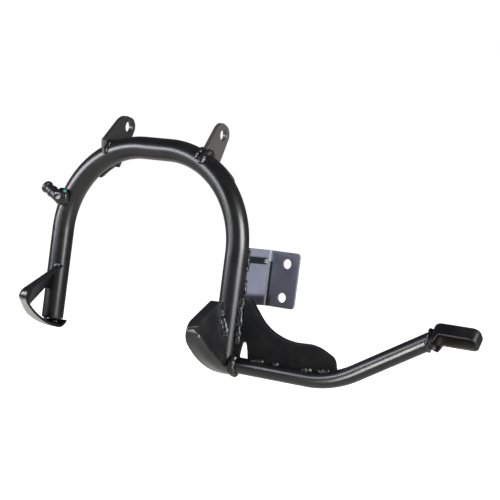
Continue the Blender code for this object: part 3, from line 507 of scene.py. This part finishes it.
def beadSurface(path, outwards, width, height, seed):
    # an oval carried along a path: r = size * round ends * (1 + ripples that lag at the sides + slow lumps)
    path = np.asarray(path, float)
    length = np.linalg.norm(np.diff(path, axis=0), axis=1).sum()
    rows = max(beads["leastRows"], int(length / beads["pitch"] * beads["perPitch"]))
    turn, share, crowd = beads["endTurn"], beads["endShare"], beads["crowd"]
    u = crowd * (1 - np.cos(np.linspace(turn, np.pi - turn, rows))) / 2
    u += (1 - crowd) * np.linspace(share, 1 - share, rows)
    place = along(path, u)
    tangent = unit(np.gradient(place, axis=0))
    normal = np.broadcast_to(np.asarray(outwards, float), path.shape)
    normal = along(np.hstack([path, normal * 1e-6]), u)[:, 3:] * 1e6
    normal = unit(normal - (normal * tangent).sum(axis=1, keepdims=True) * tangent)
    side = np.cross(tangent, normal)
    v = turns(beads["sides"])[None, :]
    s = (u * length)[:, None]
    end = np.minimum(u, 1 - u)[:, None] * length
    ends = np.sqrt(np.clip(1 - (1 - np.clip(end / width, 0, 1)) ** 2, beads["thinnest"] ** 2, 1))
    saw = (s / beads["pitch"] - beads["lag"] * np.abs(np.sin(v)) ** 2) % 1.0
    lumps = wander((rows, v.size), seed, beads["lumpWaves"], 1 + length / beads["lumpLength"])
    size = ends * (1 + beads["ripple"] * (1 - 2 * saw ** beads["lean"]) + beads["lumps"] * lumps)
    up = height * size * np.cos(v)
    over = width * size * np.sin(v)
    return place[:, None] + up[..., None] * normal[:, None] + over[..., None] * side[:, None]


def onLeg(side, across, z, front=1):
    # points just off a leg's surface, by their distance outwards from its axis and their height
    r = tubeR + beads["off"]
    across = np.clip(across, -r, r)
    path = np.stack([side * (legX + across), -front * np.sqrt(r**2 - across**2), z], axis=-1)
    return path, np.stack([side * across / r, path[:, 1] / r, 0 * z], axis=-1)


def legSeam(f, places, count=40):
    # a seam over a leg's front, in tube radii: outwards from its axis, and down from the foot's limb
    places = np.asarray(places, float)
    t = np.linspace(0, len(places) - 1, count)
    across, down = (np.interp(t, np.arange(len(places)), places[:, k]) for k in (0, 1))
    return onLeg(f["side"], tubeR * across, f["end"] + f["above"] - tubeR * down)


def lugSeam(side, face, start, end):
    # where one face of a lug crosses the bend, and the way between the face and the tube
    x = lug["x"][side] + face * (lug["thick"] / 2 + beads["off"])
    lean = math.asin((x - bow["crownHalf"]) / bow["bend"])
    middle = bow["bend"] * (math.cos(lean) - 1)
    ring = arcPoints((0, 0), tubeR + beads["ringOff"], start, end, 40)
    zero = 0 * ring[:, :1]
    path = np.stack([side * x + zero[:, 0], ring[:, 0], middle + ring[:, 1] / math.cos(lean)], axis=1)
    return path, np.hstack([side * face + zero, ring / tubeR])


def ringSeam(x, centreZ, start, end, face):
    # an arc round the arm at one X, and the way out from the arm and along it
    radius = armR + beads["ringOff"]
    lean = math.cos(math.radians(arm["rise"])) if face < 0 else 1.0
    ring = arcPoints((0, 0), radius, start, end, 50)
    zero = 0 * ring[:, :1]
    path = np.stack([x + zero[:, 0], arm["y"] + ring[:, 0], centreZ + ring[:, 1] / lean], axis=1)
    return path, np.hstack([face * beads["ringLean"] + zero, ring / radius])


# The spring peg. Each turned step is a radius, as a share of one of the peg's own, and a distance below the tip.
peg = {"turn": 17.7, "tilt": 9.8, "front": 0.0095, "shank": 0.0061, "head": 0.0073, "collar": 0.0071,
       "length": 0.0238, "flare": 1.15, "flareRise": 0.004, "deep": 0.3, "pole": 0.0001, "fold": 0.001,
       "sides": 64,
       "steps": (("head", 0.6, 0.0003), ("head", 0.88, 0.0012), ("head", 1, 0.0028), ("head", 1, 0.0055),
                 ("shank", 1, 0.0066), ("shank", 1, 0.0112), ("collar", 1, 0.0124), ("collar", 1, 0.015),
                 ("shank", 1.05, 0.0164))}


def pegAxis():
    # where the peg's line meets the tube's centre line, and the way out along it
    turn = peg["turn"]
    out, direction = (np.array([-math.cos(a), 0, math.sin(a)]) for a in np.radians([turn, turn + peg["tilt"]]))
    return np.array([-bow["crownHalf"], -peg["front"], -bow["bend"]]) + out * bow["bend"], direction


def turned(profile, start, direction):
    # a profile (radius, height) turned round an axis
    u = unit(np.cross(direction, [0, 1, 0]))
    w = np.cross(direction, u)
    a = turns(peg["sides"])
    ring = np.cos(a)[:, None] * u + np.sin(a)[:, None] * w
    return start + profile[:, 1, None, None] * direction + profile[:, 0, None, None] * ring[None]


def pegProfile():
    # the half outline (radius, height) from the tip: head, neck, collar and shank, with small rounded corners
    tip, low, pole = tubeR + peg["length"], peg["deep"] * tubeR, peg["pole"]
    wide = peg["flare"] * peg["shank"]
    corners = [(pole, tip)] + [(peg[word] * share, tip - down) for word, share, down in peg["steps"]]
    corners += [(wide, low + peg["flareRise"]), (wide, low), (pole, low)]
    return roundedLine(corners, [peg["fold"]] * (len(corners) - 2), 6)


# The pedal tread

# The five dabs of colour inside the pan are painted reflection: a lighter grey that stands in for light mirrored in
# its hollow.
tread = {"x": 0.3885, "y": 0.006, "below": 0.149, "length": 0.05, "width": 0.021, "corner": 0.0085,
         "flange": 0.0145, "ear": 0.023, "sheet": 0.0026, "tilt": 38.0, "edge": 0.0042, "earEnd": 0.007,
         "earBlend": 0.0035, "rimDrop": 0.3, "innerEdge": 0.6, "sheenX": (0.372, 0.38, 0.388, 0.396, 0.404),
         "sheenY": 0.0085, "sheenZ": -0.164, "sheenSize": 0.0095, "wearAndSheen": (0.11, 0.105, 0.09)}


def treadSurface(count=200):
    # a pressed pan: a round-cornered rectangle carried over the top, round the edge, down the wall and back inside
    hx, hy, c = tread["length"] / 2, tread["width"] / 2, tread["corner"]
    ring = np.vstack([arcPoints((sx * (hx - c), sy * (hy - c)), c, 90 * k, 90 * k + 90, 16)
                      for k, (sx, sy) in enumerate(((1, 1), (-1, 1), (-1, -1), (1, -1)))])
    ring = along(np.vstack([ring, ring[:1]]), np.arange(count) / count)
    tangent = np.roll(ring, -1, axis=0) - np.roll(ring, 1, axis=0)
    inward = unit(np.stack([-tangent[:, 1], tangent[:, 0]], axis=1))
    nearArm = 1 - np.clip((ring[:, 0] + hx - tread["earEnd"]) / tread["earBlend"], 0, 1)
    nearArm = nearArm * nearArm * (3 - 2 * nearArm)
    depth = tread["flange"] + (tread["ear"] - tread["flange"]) * nearArm
    e, t = tread["edge"], tread["sheet"]
    f, lip = e - tread["innerEdge"] * t, tread["rimDrop"] * t
    outer, rim, inner = (np.radians(np.linspace(*turn)) for turn in ((0, 90, 8), (0, 180, 7), (90, 0, 6)))
    pan = [((ring + inward * e) * k, 0) for k in (0.04, 0.3, 0.6, 0.85)]
    pan += [(ring + inward * e * (1 - np.sin(a)), -e * (1 - np.cos(a))) for a in outer]
    pan += [(ring, -e - (depth - e) * k) for k in (0.35, 0.7, 0.94)]
    pan += [(ring + inward * t / 2 * (1 - np.cos(a)), -depth - lip * np.sin(a)) for a in rim]
    pan += [(ring + inward * t, -e - (depth - e) * k) for k in (0.6, 0.2)]
    pan += [(ring + inward * (t + f * (1 - np.sin(a))), -t - f * (1 - np.cos(a))) for a in inner]
    pan += [((ring + inward * (t + e)) * k, -t) for k in (0.8, 0.5, 0.2, 0.04)]
    local = np.stack([np.column_stack([plan, high + np.zeros(count)]) for plan, high in pan])
    wide, deep, high = (local[..., k] for k in range(3))
    tilt = math.radians(tread["tilt"])
    y = tread["y"] + deep * math.cos(tilt) + high * math.sin(tilt)
    z = -tread["below"] - deep * math.sin(tilt) + high * math.cos(tilt)
    return np.stack([tread["x"] + wide, y, z], axis=-1)


# The side bracket

# The bracket's base colour is painted reflection: a light bluish grey in place of the light mirrored in its web and
# flange. Its three dark patches are painted shade: a band in the rib's groove, a line at the bend, and the web darker
# towards its lower edge.
bracket = {"sheet": 0.003, "beside": 0.008, "reach": 0.057, "top": 0.0965, "height": 0.062, "flange": 0.0385,
           "hole": 0.0055, "holes": ((0.61, 0.21), (0.571, 0.819)), "punch": 0.006, "bend": 0.007,
           "corner": 0.004, "start": 0.0108, "edge": 0.0004, "rib": 0.0022, "ribTop": 0.0085, "ribLow": 0.0165,
           "ribSlope": 0.0015, "ribEnd": 0.01, "ribBlend": 0.004, "base": (0.135, 0.142, 0.182),
           "paintedShadePatches": (((0.1, 0.0, -0.1125), (0.14, 0.05, -0.1065), 0.001, (0.004, 0.008, 0.007)),
                       ((0.1, 0.0535, -0.17), (0.1345, 0.06, -0.11), 0.002, (0.006, 0.006, 0.01)),
                       ((0.1, 0.0, -0.17), (0.1345, 0.06, -0.15), 0.006, (0.014, 0.014, 0.018)))}


def bracketSurface():
    # a folded sheet: its plan line carried down its height, thickened across, with a pressed rib in the web
    web, reach = legX + bracket["beside"], bracket["reach"]
    line = roundedLine([(web, bracket["start"]), (web, reach), (web + bracket["flange"], reach)],
                       (bracket["bend"],), 14)
    u = np.linspace(0, 1, 120)
    plan = along(line, u)
    step = unit(np.gradient(plan, axis=0))
    normal = np.stack([step[:, 1], -step[:, 0]], axis=1)
    toEnd = (1 - u) * np.linalg.norm(np.diff(line, axis=0), axis=1).sum()
    r = bracket["corner"]
    cut = np.where(toEnd < r, r - np.sqrt(np.clip(r * r - (r - toEnd) ** 2, 0, None)), 0)
    v = np.linspace(0, 1, 90)
    top = -bracket["top"] - cut
    low = -bracket["top"] - bracket["height"] + cut
    z = top[:, None] * (1 - v) + low[:, None] * v
    down = -bracket["top"] - z
    onWeb = 1 - np.clip((plan[:, 1] - (reach - bracket["ribEnd"])) / bracket["ribBlend"], 0, 1)
    slope = bracket["ribSlope"]
    rib = np.clip((down - bracket["ribTop"]) / slope, 0, 1)
    rib *= np.clip((bracket["ribLow"] - down) / slope, 0, 1)
    dent = bracket["rib"] * rib * onWeb[:, None]
    h, e = bracket["sheet"] / 2, bracket["edge"]
    faces = []
    for offset, shrink in ((h - e, 0), (h, e), (-h, e), (e - h, 0)):
        flat = plan + normal * offset
        zz = np.clip(z, (low + shrink)[:, None], (top - shrink)[:, None])
        faces.append(np.stack([flat[:, :1] - dent, flat[:, 1:] + 0 * z, zz], axis=-1))
    back, outBack, outFront, front = faces
    return np.concatenate([outBack, back[:, -1:], front[:, -1:], outFront[:, ::-1], front[:, :1], back[:, :1]],
                          axis=1)


print("shapes ready")

# Paints


class Socket:
    # a shader value that can be used in Python sums
    def __init__(self, tree, link):
        self.tree, self.link = tree, link

    def math(self, operation, a, b, clamp=False):
        # one sum, whose two values are numbers or other nodes' values
        return Graph(self.tree).node("ShaderNodeMath", {"operation": operation, "use_clamp": clamp}, {0: a, 1: b})

    def __add__(self, other): return self.math("ADD", self, other)
    def __radd__(self, other): return self.math("ADD", other, self)
    def __rsub__(self, other): return self.math("SUBTRACT", other, self)
    def __mul__(self, other): return self.math("MULTIPLY", self, other)
    def clamped(self): return self.math("ADD", self, 0.0, True)


class Graph:
    # a node tree, with one method that adds any node: its type, its settings, then its values or links
    def __init__(self, tree):
        self.tree = tree

    def node(self, kind, settings, sockets, output=0):
        # the new node's own value, by the output's name
        made = self.tree.nodes.new(kind)
        for key, value in settings.items():
            setattr(made, key, value)
        for key, value in sockets.items():
            self.feed(made, key, value)
        return Socket(self.tree, made.outputs[output])

    def feed(self, node, key, value):
        # a link into one input, or a constant
        if isinstance(value, Socket):
            self.tree.links.new(value.link, node.inputs[key])
        else:
            node.inputs[key].default_value = value


class Finish(Graph):
    # one material: its tree, its shader and the masks and noises that its colours are mixed by
    def __init__(self, name):
        self.material = bpy.data.materials.new(name)
        self.material.use_nodes = True
        super().__init__(self.material.node_tree)
        self.shader = self.tree.nodes["Principled BSDF"]
        self.place = self.node("ShaderNodeTexCoord", {}, {}, "Object")

    def noise(self, scale, detail, rough):
        # a cloud of noise in object coordinates
        return self.node("ShaderNodeTexNoise", {}, {"Vector": self.place, "Scale": scale, "Detail": detail,
                                                    "Roughness": rough}, "Fac")

    def band(self, value, low, high):
        # 0 below low, 1 above high, smooth between
        return self.node("ShaderNodeMapRange", {"interpolation_type": "SMOOTHSTEP"},
                         {"Value": value, "From Min": low, "From Max": high}, "Result")

    def near(self, point, size):
        # 1 within half a size of a point, 0 beyond the size
        gap = self.node("ShaderNodeVectorMath", {"operation": "DISTANCE"}, {0: self.place, 1: point}, "Value")
        return 1 - self.band(gap, 0.5 * size, size)

    def part(self, vector, axis):
        # one number of a vector
        return self.node("ShaderNodeSeparateXYZ", {}, {0: vector}, axis)

    def inside(self, low, high, soft):
        # 1 in a box between two corners, falling to 0 over a soft edge: the product of two bands on each axis
        mask = 1
        for k, axis in enumerate("XYZ"):
            value = self.part(self.place, axis)
            mask = self.band(value, low[k] - soft, low[k]) * (1 - self.band(value, high[k], high[k] + soft)) * mask
        return mask

    def mix(self, mask, a, b):
        # colour a where the mask is 0, and b where it is 1
        return self.node("ShaderNodeMix", {"data_type": "RGBA"}, {"Factor": mask, "A": a, "B": b}, "Result")

    def set(self, **sockets):
        # the shader's own inputs, by name
        for key, value in sockets.items():
            self.feed(self.shader, key.replace("_", " "), value)


def fromCrown(point):
    # a place laid out from the crown, in the scene
    return Vector(point) + Vector(crown)


# Noises are scale, detail and roughness; bands are where a mask starts and where it is full.
paint = {"dark": (0.0045, 0.0047, 0.0055, 1), "wearAndSheen": (0.011, 0.0105, 0.01, 1), "dust": (0.055, 0.052, 0.045, 1),
         "cloud": (38.0, 4.0, 0.55), "fine": (420.0, 3.0, 0.6), "grain": (2600.0, 2.0, 0.5),
         "speck": (900.0, 2.0, 0.7), "weld": (700.0, 2.0, 0.6), "wornBand": (0.35, 0.75), "baseBand": (0.3, 0.75),
         "speckBand": (0.66, 0.74), "downBand": (-0.55, -0.12), "asideBand": (0.1, 0.4), "baseShade": 0.8,
         "roughness": 0.27, "roughLess": 0.05, "roughCloud": 0.1, "roughFine": 0.06, "roughSpeck": 0.25,
         "highFine": 0.55, "highGrain": 0.18, "highCloud": 0.9, "highWeld": 0.8, "bump": 0.5, "peel": 0.00006}


def blackPaint(name, roughness=paint["roughness"], peel=1.0, dust=0.25, weld=False, base=None, shine=0.5,
               touches=(), paintedShadePatches=(), paintedFloorLight=None):
    # black paint with a soft cloud of wear, fine dust and an orange peel; base is a lighter colour of painted
    # reflection, each touch is a dab (place, size, colour), painted reflection on the tread and the weld's own tint
    # on the peg, each patch a soft box (corners, soft edge, colour) of painted shade, and the last argument a painted
    # light from the floor on what faces down; roughness and height are sums of the noises, each by its own weight
    f = Finish(name)
    cloud, fine, grain = (f.noise(*paint[word]) for word in ("cloud", "fine", "grain"))
    speck = f.band(f.noise(*paint["speck"]), *paint["speckBand"])
    colour = f.mix(f.band(cloud, *paint["wornBand"]), paint["dark"], paint["wearAndSheen"])
    colour = f.mix(speck * dust, colour, paint["dust"])
    # painted reflection: a lighter base colour, clouded with a darker tone of itself
    if base:
        shade = [paint["baseShade"] * v for v in base]
        colour = f.mix(f.band(cloud, *paint["baseBand"]), (*base, 1), (*shade, 1))
    # dabs: painted reflection where lighter than the paint (the tread), the weld's own tint on the peg
    for point, size, tint in touches:
        colour = f.mix(f.near(fromCrown(point), size), colour, (*tint, 1))
    # painted shade: each soft box darkens its part of the piece
    for low, high, soft, tint in paintedShadePatches:
        colour = f.mix(f.inside(fromCrown(low), fromCrown(high), soft), colour, (*tint, 1))
    # painted light: faces turned down, and not towards +X, take a lighter colour standing in for light from the floor
    if paintedFloorLight:
        normal = f.node("ShaderNodeNewGeometry", {}, {}, "Normal")
        down = 1 - f.band(f.part(normal, "Z"), *paint["downBand"])
        aside = 1 - f.band(f.part(normal, "X"), *paint["asideBand"])
        colour = f.mix(down * aside, colour, (*paintedFloorLight, 1))
    rough = (roughness - paint["roughLess"]) + cloud * paint["roughCloud"] + fine * paint["roughFine"]
    rough = rough + speck * (paint["roughSpeck"] * dust)
    height = fine * paint["highFine"] + grain * paint["highGrain"] + cloud * paint["highCloud"]
    if weld:
        height = height + f.noise(*paint["weld"]) * paint["highWeld"]
    bump = f.node("ShaderNodeBump", {}, {"Height": height, "Strength": paint["bump"],
                                         "Distance": paint["peel"] * peel}, "Normal")
    f.set(Base_Color=colour, Roughness=rough.clamped(), Normal=bump, Metallic=0.0, Specular_IOR_Level=shine)
    return f.material


# The pieces, each in place of its CAD node

makePiece("bowTube", [shell(tubeSurface(bowAt, bow), wrapRows=True)], "bow_tube", blackPaint("bow paint", peel=0.4),
          50)
armPiece = makePiece("pedalArm", [shell(tubeSurface(armAt, arm), wrapRows=True)], "pedal_arm",
                     blackPaint("arm paint", peel=0.4), 50)
# The lugs' base colours are painted reflection: a grey lighter than the black paint stands in for the bright backdrop
# mirrored in their faces, lighter on the right lug than on the left as the light falls.
lugPaintedReflection = {"left": (0.024, 0.0235, 0.023), "right": (0.062, 0.06, 0.057)}
for side, word in ((-1, "left"), (1, "right")):
    plate = eyePlate(lugOutline(*lug[word]), side * lug["x"][side])
    makePiece("pivotLug" + word.title(), [shell(plate, wrapRows=True), shell(lugTail(side))],
              "pivot_lug_" + word, blackPaint("lug paint " + word, peel=0.8, base=lugPaintedReflection[word]), 35)
    name = "foot" + word.title()
    # the left foot's down-facing faces get a painted light from the floor
    footPiece = finishPiece(name, footSheet(name, feet[word]), "foot_shell_" + word,
                            blackPaint("foot paint " + word, paintedFloorLight=feet[word].get("paintedFloorLight")), 38, bevel=feet["bevel"])
makePiece("gussetPlate", [shell(gussetSurface())], "gusset_plate",
          blackPaint("gusset paint", peel=0.8, roughness=0.3, shine=0.12), 35)
# painted reflection: lighter dabs inside the tread's pan
treadSheenDabs = [((x, tread["sheenY"], tread["sheenZ"]), tread["sheenSize"], tread["wearAndSheen"]) for x in tread["sheenX"]]
treadPiece = makePiece("pedalTread", [shell(treadSurface())], "pedal_tread",
                       blackPaint("tread paint", roughness=0.3, shine=0.3, touches=treadSheenDabs), 45)
punches = []
for across, down in bracket["holes"]:
    middle = (legX + bracket["beside"] + bracket["flange"] * across, -bracket["top"] - bracket["height"] * down)
    punches.append(prism("hole", arcPoints(middle, bracket["hole"], 0, 360, 48)[:-1],
                         (bracket["reach"] - bracket["punch"], bracket["reach"] + bracket["punch"]), 1))
sheet = carved("sideBracket", meshOf("bracketSheet", [shell(bracketSurface())]), punches)
# painted reflection in the bracket's base colour, painted shade in its patches
finishPiece("sideBracket", sheet, "side_bracket",
            blackPaint("bracket paint", base=bracket["base"], paintedShadePatches=bracket["paintedShadePatches"]), 35)
start, direction = pegAxis()
makePiece("springPeg", [shell(turned(pegProfile(), start, direction))], "spring_peg",
          blackPaint("peg paint", roughness=0.34), 50)

# The beads in place. Limb, wall and sole are in tube radii; the others' spans are shares of gusset or bracket.
seam = {"limb": ((-0.787, -0.04), (-0.236, 0.28), (0.157, 0.98), (0.551, 1.77), (0.748, 2.2)),
        "wall": ((-0.66, 0.72), (-0.55, 0.9), (-0.25, 1.4), (0.0, 1.9), (0.24, 2.45), (0.46, 3.03), (0.6, 3.45)),
        "sole": (0.55, 0.87), "soleY": -0.004, "soleDown": 0.0034, "legOff": 0.0012, "legLean": 0.0025,
        "leg": (1.0, 0.29), "stitches": ((0.246, 0.377), (0.457, 0.514), (0.71, 0.804), (0.855, 0.957)),
        "armOff": 0.003, "pedalOff": 0.002, "bracketOff": 0.0009,
        "bracket": (("upper", 0.04, 0.427), ("lower", 0.556, 0.96))}
# Each seam: its node's word, its path with the way out, and its bead's half width and height.
seams = [("lug_left_inner", lugSeam(-1, -1, 186, 30), 0.003, 0.0024),
         ("lug_right_inner", lugSeam(1, -1, 172, 60), 0.003, 0.0024),
         ("lug_right_outer", lugSeam(1, 1, 178, 40), 0.004, 0.0032),
         ("foot_left_limb", legSeam(feet["left"], seam["limb"]), 0.0028, 0.0022),
         ("foot_right_wall", legSeam(feet["right"], seam["wall"]), 0.0042, 0.0032)]
solePath = np.stack([-legX + tubeR * np.linspace(*seam["sole"], 8), np.full(8, seam["soleY"]),
                     np.full(8, feet["left"]["end"] - seam["soleDown"])], axis=1)
seams.append(("foot_left_sole", (solePath, (0.1, -1.0, 0.3)), 0.003, 0.0026))
front = gusset["y"] - gusset["thick"] / 2 - beads["off"]
ups = np.linspace(*seam["leg"], 20)
legSide = np.stack([legX + tubeR + seam["legOff"] + seam["legLean"] * (1 - ups), np.full(20, front),
                    webPoint(0, ups)[1]], axis=1)
seams.append(("gusset_leg", (legSide, (0.35, -1.0, 0.0)), 0.0034, 0.0026))
for k, (begin, end) in enumerate(seam["stitches"], 1):
    stitch = armAtX(webPoint(np.linspace(begin, end, 12), 0)[0]) + np.array([0, front - arm["y"], armR])
    seams.append(("gusset_arm_%d" % k, (stitch, (0, -1.0, 0.9)), 0.0034, 0.0028))
rootX = legX + tubeR + seam["armOff"]
seams.append(("arm_root", ringSeam(rootX, -arm["drop"], 105, 290, 1), 0.004, 0.0034))
endX = tread["x"] - tread["length"] / 2 - seam["pedalOff"]
endZ = armAtX(np.array([endX]))[0, 2]
seams.append(("pedal", ringSeam(endX, endZ, 100, 262, -1), 0.0024, 0.002))
webX = bracket["beside"] + bracket["sheet"] / 2 + seam["bracketOff"]
for word, begin, end in seam["bracket"]:
    heights = -bracket["top"] - bracket["height"] * np.linspace(begin, end, 20)
    seams.append(("bracket_" + word, onLeg(1, np.full(20, webX), heights, -1), 0.0026, 0.0022))
weldPaint = blackPaint("weld paint", roughness=0.3, peel=2.0, weld=True)
for seed, (word, (path, outwards), width, height) in enumerate(seams, 1):
    name = "PedalRing" if word == "pedal" else word.title().replace("_", "")
    makePiece("weld" + name, [shell(beadSurface(path, outwards, width, height, seed))], "weld_" + word, weldPaint, 60)

noseSeam = {"up": (0.05, 0.13), "across": (0.001, 0.013), "width": 0.0026, "height": 0.0016,
            "way": (0, -0.8, 0.6), "seed": 31}
noseLine = along(footEdges(feet["right"], 0, 0)[0], noseSeam["up"])
noseX = feet["innerX"] + np.linspace(*noseSeam["across"], 12)
nosePath = np.column_stack([noseX] + [np.interp(noseX, noseX[[0, -1]], noseLine[:, k]) for k in (0, 1)])
noseBead = beadSurface(nosePath, noseSeam["way"], noseSeam["width"], noseSeam["height"], noseSeam["seed"])
makePiece("weldFootRightNose", [shell(noseBead)], "foot_shell_right", weldPaint, 60, added=True)

# Each wave of the drop: how often it turns, how often it falls, and its phase. Each dab: place, size and colour.
pegWeld = {"out": 0.0105, "move": (0.01, -0.0075, 0.001), "radii": (0.0102, 0.0064, 0.0105), "lumps": 0.2,
           "waves": ((2, 1, 0.4), (3, 2, 1.9), (5, 3, 3.1), (4, 5, 5.0), (7, 4, 2.2)), "fade": 0.6,
           "dabs": (((0.0075, -0.004, 0.0085), 0.004, (0.05, 0.42, 0.34)),
                    ((-0.001, -0.006, 0.0085), 0.0024, (0.16, 0.03, 0.1)),
                    ((-0.006, -0.004, -0.008), 0.0034, (0.05, 0.34, 0.14)),
                    ((-0.004, -0.006, 0.003), 0.0022, (0.1, 0.03, 0.04)))}


def blobSurface(centre, direction, rows=60, cols=96):
    # an uneven drop: a ball of points, each pushed in or out by a sum of waves, stretched along its own axes
    side = unit(np.cross(direction, [0, 1, 0]))
    axes = (side, np.cross(direction, side), direction)
    fall = np.linspace(0.01, math.pi - 0.01, rows)[:, None]
    turn = turns(cols)[None]
    field = 0
    for k, (m, n, phase) in enumerate(pegWeld["waves"]):
        wave = np.cos(m * turn + phase) * np.sin(n * fall + phase) * np.sin(fall) ** m
        field = field + wave / (1 + pegWeld["fade"] * k)
    size = 1 + pegWeld["lumps"] * field
    ball = [np.cos(fall) + 0 * turn, np.sin(fall) * np.cos(turn), np.sin(fall) * np.sin(turn)]
    return centre + sum((r * size * ray)[..., None] * axis for r, ray, axis in zip(pegWeld["radii"], ball, axes))


root = start + direction * pegWeld["out"] + np.array(pegWeld["move"])
dabs = [(root + np.array(move), size, tint) for move, size, tint in pegWeld["dabs"]]
makePiece("weldPegRing", [shell(blobSurface(root, direction))], "weld_spring_peg",
          blackPaint("peg weld paint", roughness=0.22, peel=2.0, weld=True, touches=dabs), 60)
print("pieces made")

# Floor, light and camera

studio = {"floor": (0.86, 0.86, 0.86, 1), "floorSide": 60.0, "floorGlow": 1.0, "floorRoughness": 0.9,
          "backdrop": 1.0, "white": (1, 1, 1, 1),
          "shades": ((0.28, (0.92, 0.91, 0.88, 1)), (0.46, (0.16, 0.16, 0.17, 1)), (0.62, (0.16, 0.16, 0.17, 1)),
                     (0.75, (0.1, 0.1, 0.11, 1)))}
low, half = min(c[2] for c in cadBox), studio["floorSide"] / 2
floorMesh = bpy.data.meshes.new("floor")
floorMesh.from_pydata([(-half, -half, low), (half, -half, low), (half, half, low), (-half, half, low)], [],
                      [(0, 1, 2, 3)])
floor = placed("floor", floorMesh)
ground = Finish("floor paper")
ground.set(Base_Color=studio["floor"], Roughness=studio["floorRoughness"], Emission_Color=studio["white"],
           Emission_Strength=studio["floorGlow"])
floorMesh.materials.append(ground.material)
floor.visible_glossy = False
floor.visible_diffuse = False

# White where the camera looks; for light and reflections a dim room, shaded by height = (Z + 1) / 2.
world = bpy.data.worlds.new("studio")
bpy.context.scene.world = world
world.use_nodes = True
g = Graph(world.node_tree)
up = g.node("ShaderNodeSeparateXYZ", {}, {0: g.node("ShaderNodeTexCoord", {}, {}, "Generated")}, "Z")
shade = g.node("ShaderNodeValToRGB", {}, {"Fac": up * 0.5 + 0.5})
stops = shade.link.node.color_ramp.elements
for k, (position, colour) in enumerate(studio["shades"]):
    stop = stops[k] if k < 2 else stops.new(position)
    stop.position, stop.color = position, colour
room = g.tree.nodes["Background"]
g.feed(room, "Color", shade)
white = g.node("ShaderNodeBackground", {}, {"Strength": studio["backdrop"], "Color": studio["white"]})
seen = g.node("ShaderNodeLightPath", {}, {}, "Is Camera Ray")
mixed = g.node("ShaderNodeMixShader", {}, {0: seen, 1: Socket(g.tree, room.outputs[0]), 2: white})
g.feed(g.tree.nodes["World Output"], "Surface", mixed)
bpy.context.scene.view_settings.view_transform = "Standard"


def softBox(name, place, aim, width, height, glow, colour, only):
    # a rectangle of even light, its power = glow * pi * area; it may light a few pieces alone
    place, aim = fromCrown(place), fromCrown(aim)
    light = bpy.data.lights.new(name, "AREA")
    light.shape, light.size, light.size_y = "RECTANGLE", width, height
    light.energy, light.color = glow * math.pi * width * height, colour
    lamp = placed(name, light)
    lamp.location = place
    lamp.rotation_euler = (aim - place).to_track_quat("-Z", "Y").to_euler()
    lamp.visible_camera = False
    if only:
        lit = bpy.data.collections.new(name + "Pieces")
        for piece in only:
            lit.objects.link(piece)
        lamp.light_linking.receiver_collection = lit


cool, warm = (0.97, 0.98, 1.0), (1.0, 0.99, 0.96)
# Each light: place and aim from the crown, width, height, glow, colour, and the pieces that it lights alone.
for light in (("leftBox", (-0.44, -0.7, 0.08), (0, 0, 0.0), 0.5, 0.24, 14, (0.9, 0.92, 1.0), ()),
              ("legBox", (-0.74, -0.52, 0.03), (-0.12, 0, -0.02), 0.3, 0.32, 14, (0.95, 0.94, 1.0), ()),
              ("rightBox", (1.75, -0.28, 0.36), (0.1, 0, 0.1), 1.0, 1.0, 19, cool, ()),
              ("rightLowBox", (1.75, -0.28, -0.6), (0.1, 0, -0.4), 1.0, 0.9, 3.5, cool, ()),
              ("lowBox", (0.13, -0.79, -0.5), (0.36, 0, -0.17), 0.3, 0.44, 30, warm, (armPiece, treadPiece)),
              ("ridgeBox", (0.46, -0.85, -0.4), (0.12, -0.03, -0.2), 0.9, 0.6, 34, warm, (footPiece,))):
    softBox(*light)

lens = {"azimuth": 32.0, "elevation": 0.987, "roll": 7.253, "away": 1.50723, "aim": (0.13824, 0.0, -0.09852),
        "focal": 100.8, "sensor": 36, "nearest": 0.05}
a, e, r = (math.radians(lens[k]) for k in ("azimuth", "elevation", "roll"))
back = Vector((math.sin(a) * math.cos(e), -math.cos(a) * math.cos(e), math.sin(e)))
right = Vector((math.cos(a), math.sin(a), 0))
up = back.cross(right)
across = math.cos(r) * right + math.sin(r) * up
above = math.cos(r) * up - math.sin(r) * right
place = fromCrown(lens["aim"]) + back * lens["away"]
view = bpy.data.cameras.new("camera")
view.lens, view.sensor_width, view.clip_start = lens["focal"], lens["sensor"], lens["nearest"]
camera = placed("camera", view)
camera.matrix_world = Matrix([(across[k], above[k], back[k], place[k]) for k in range(3)] + [(0, 0, 0, 1)])
bpy.context.scene.camera = camera

print("scene ready")
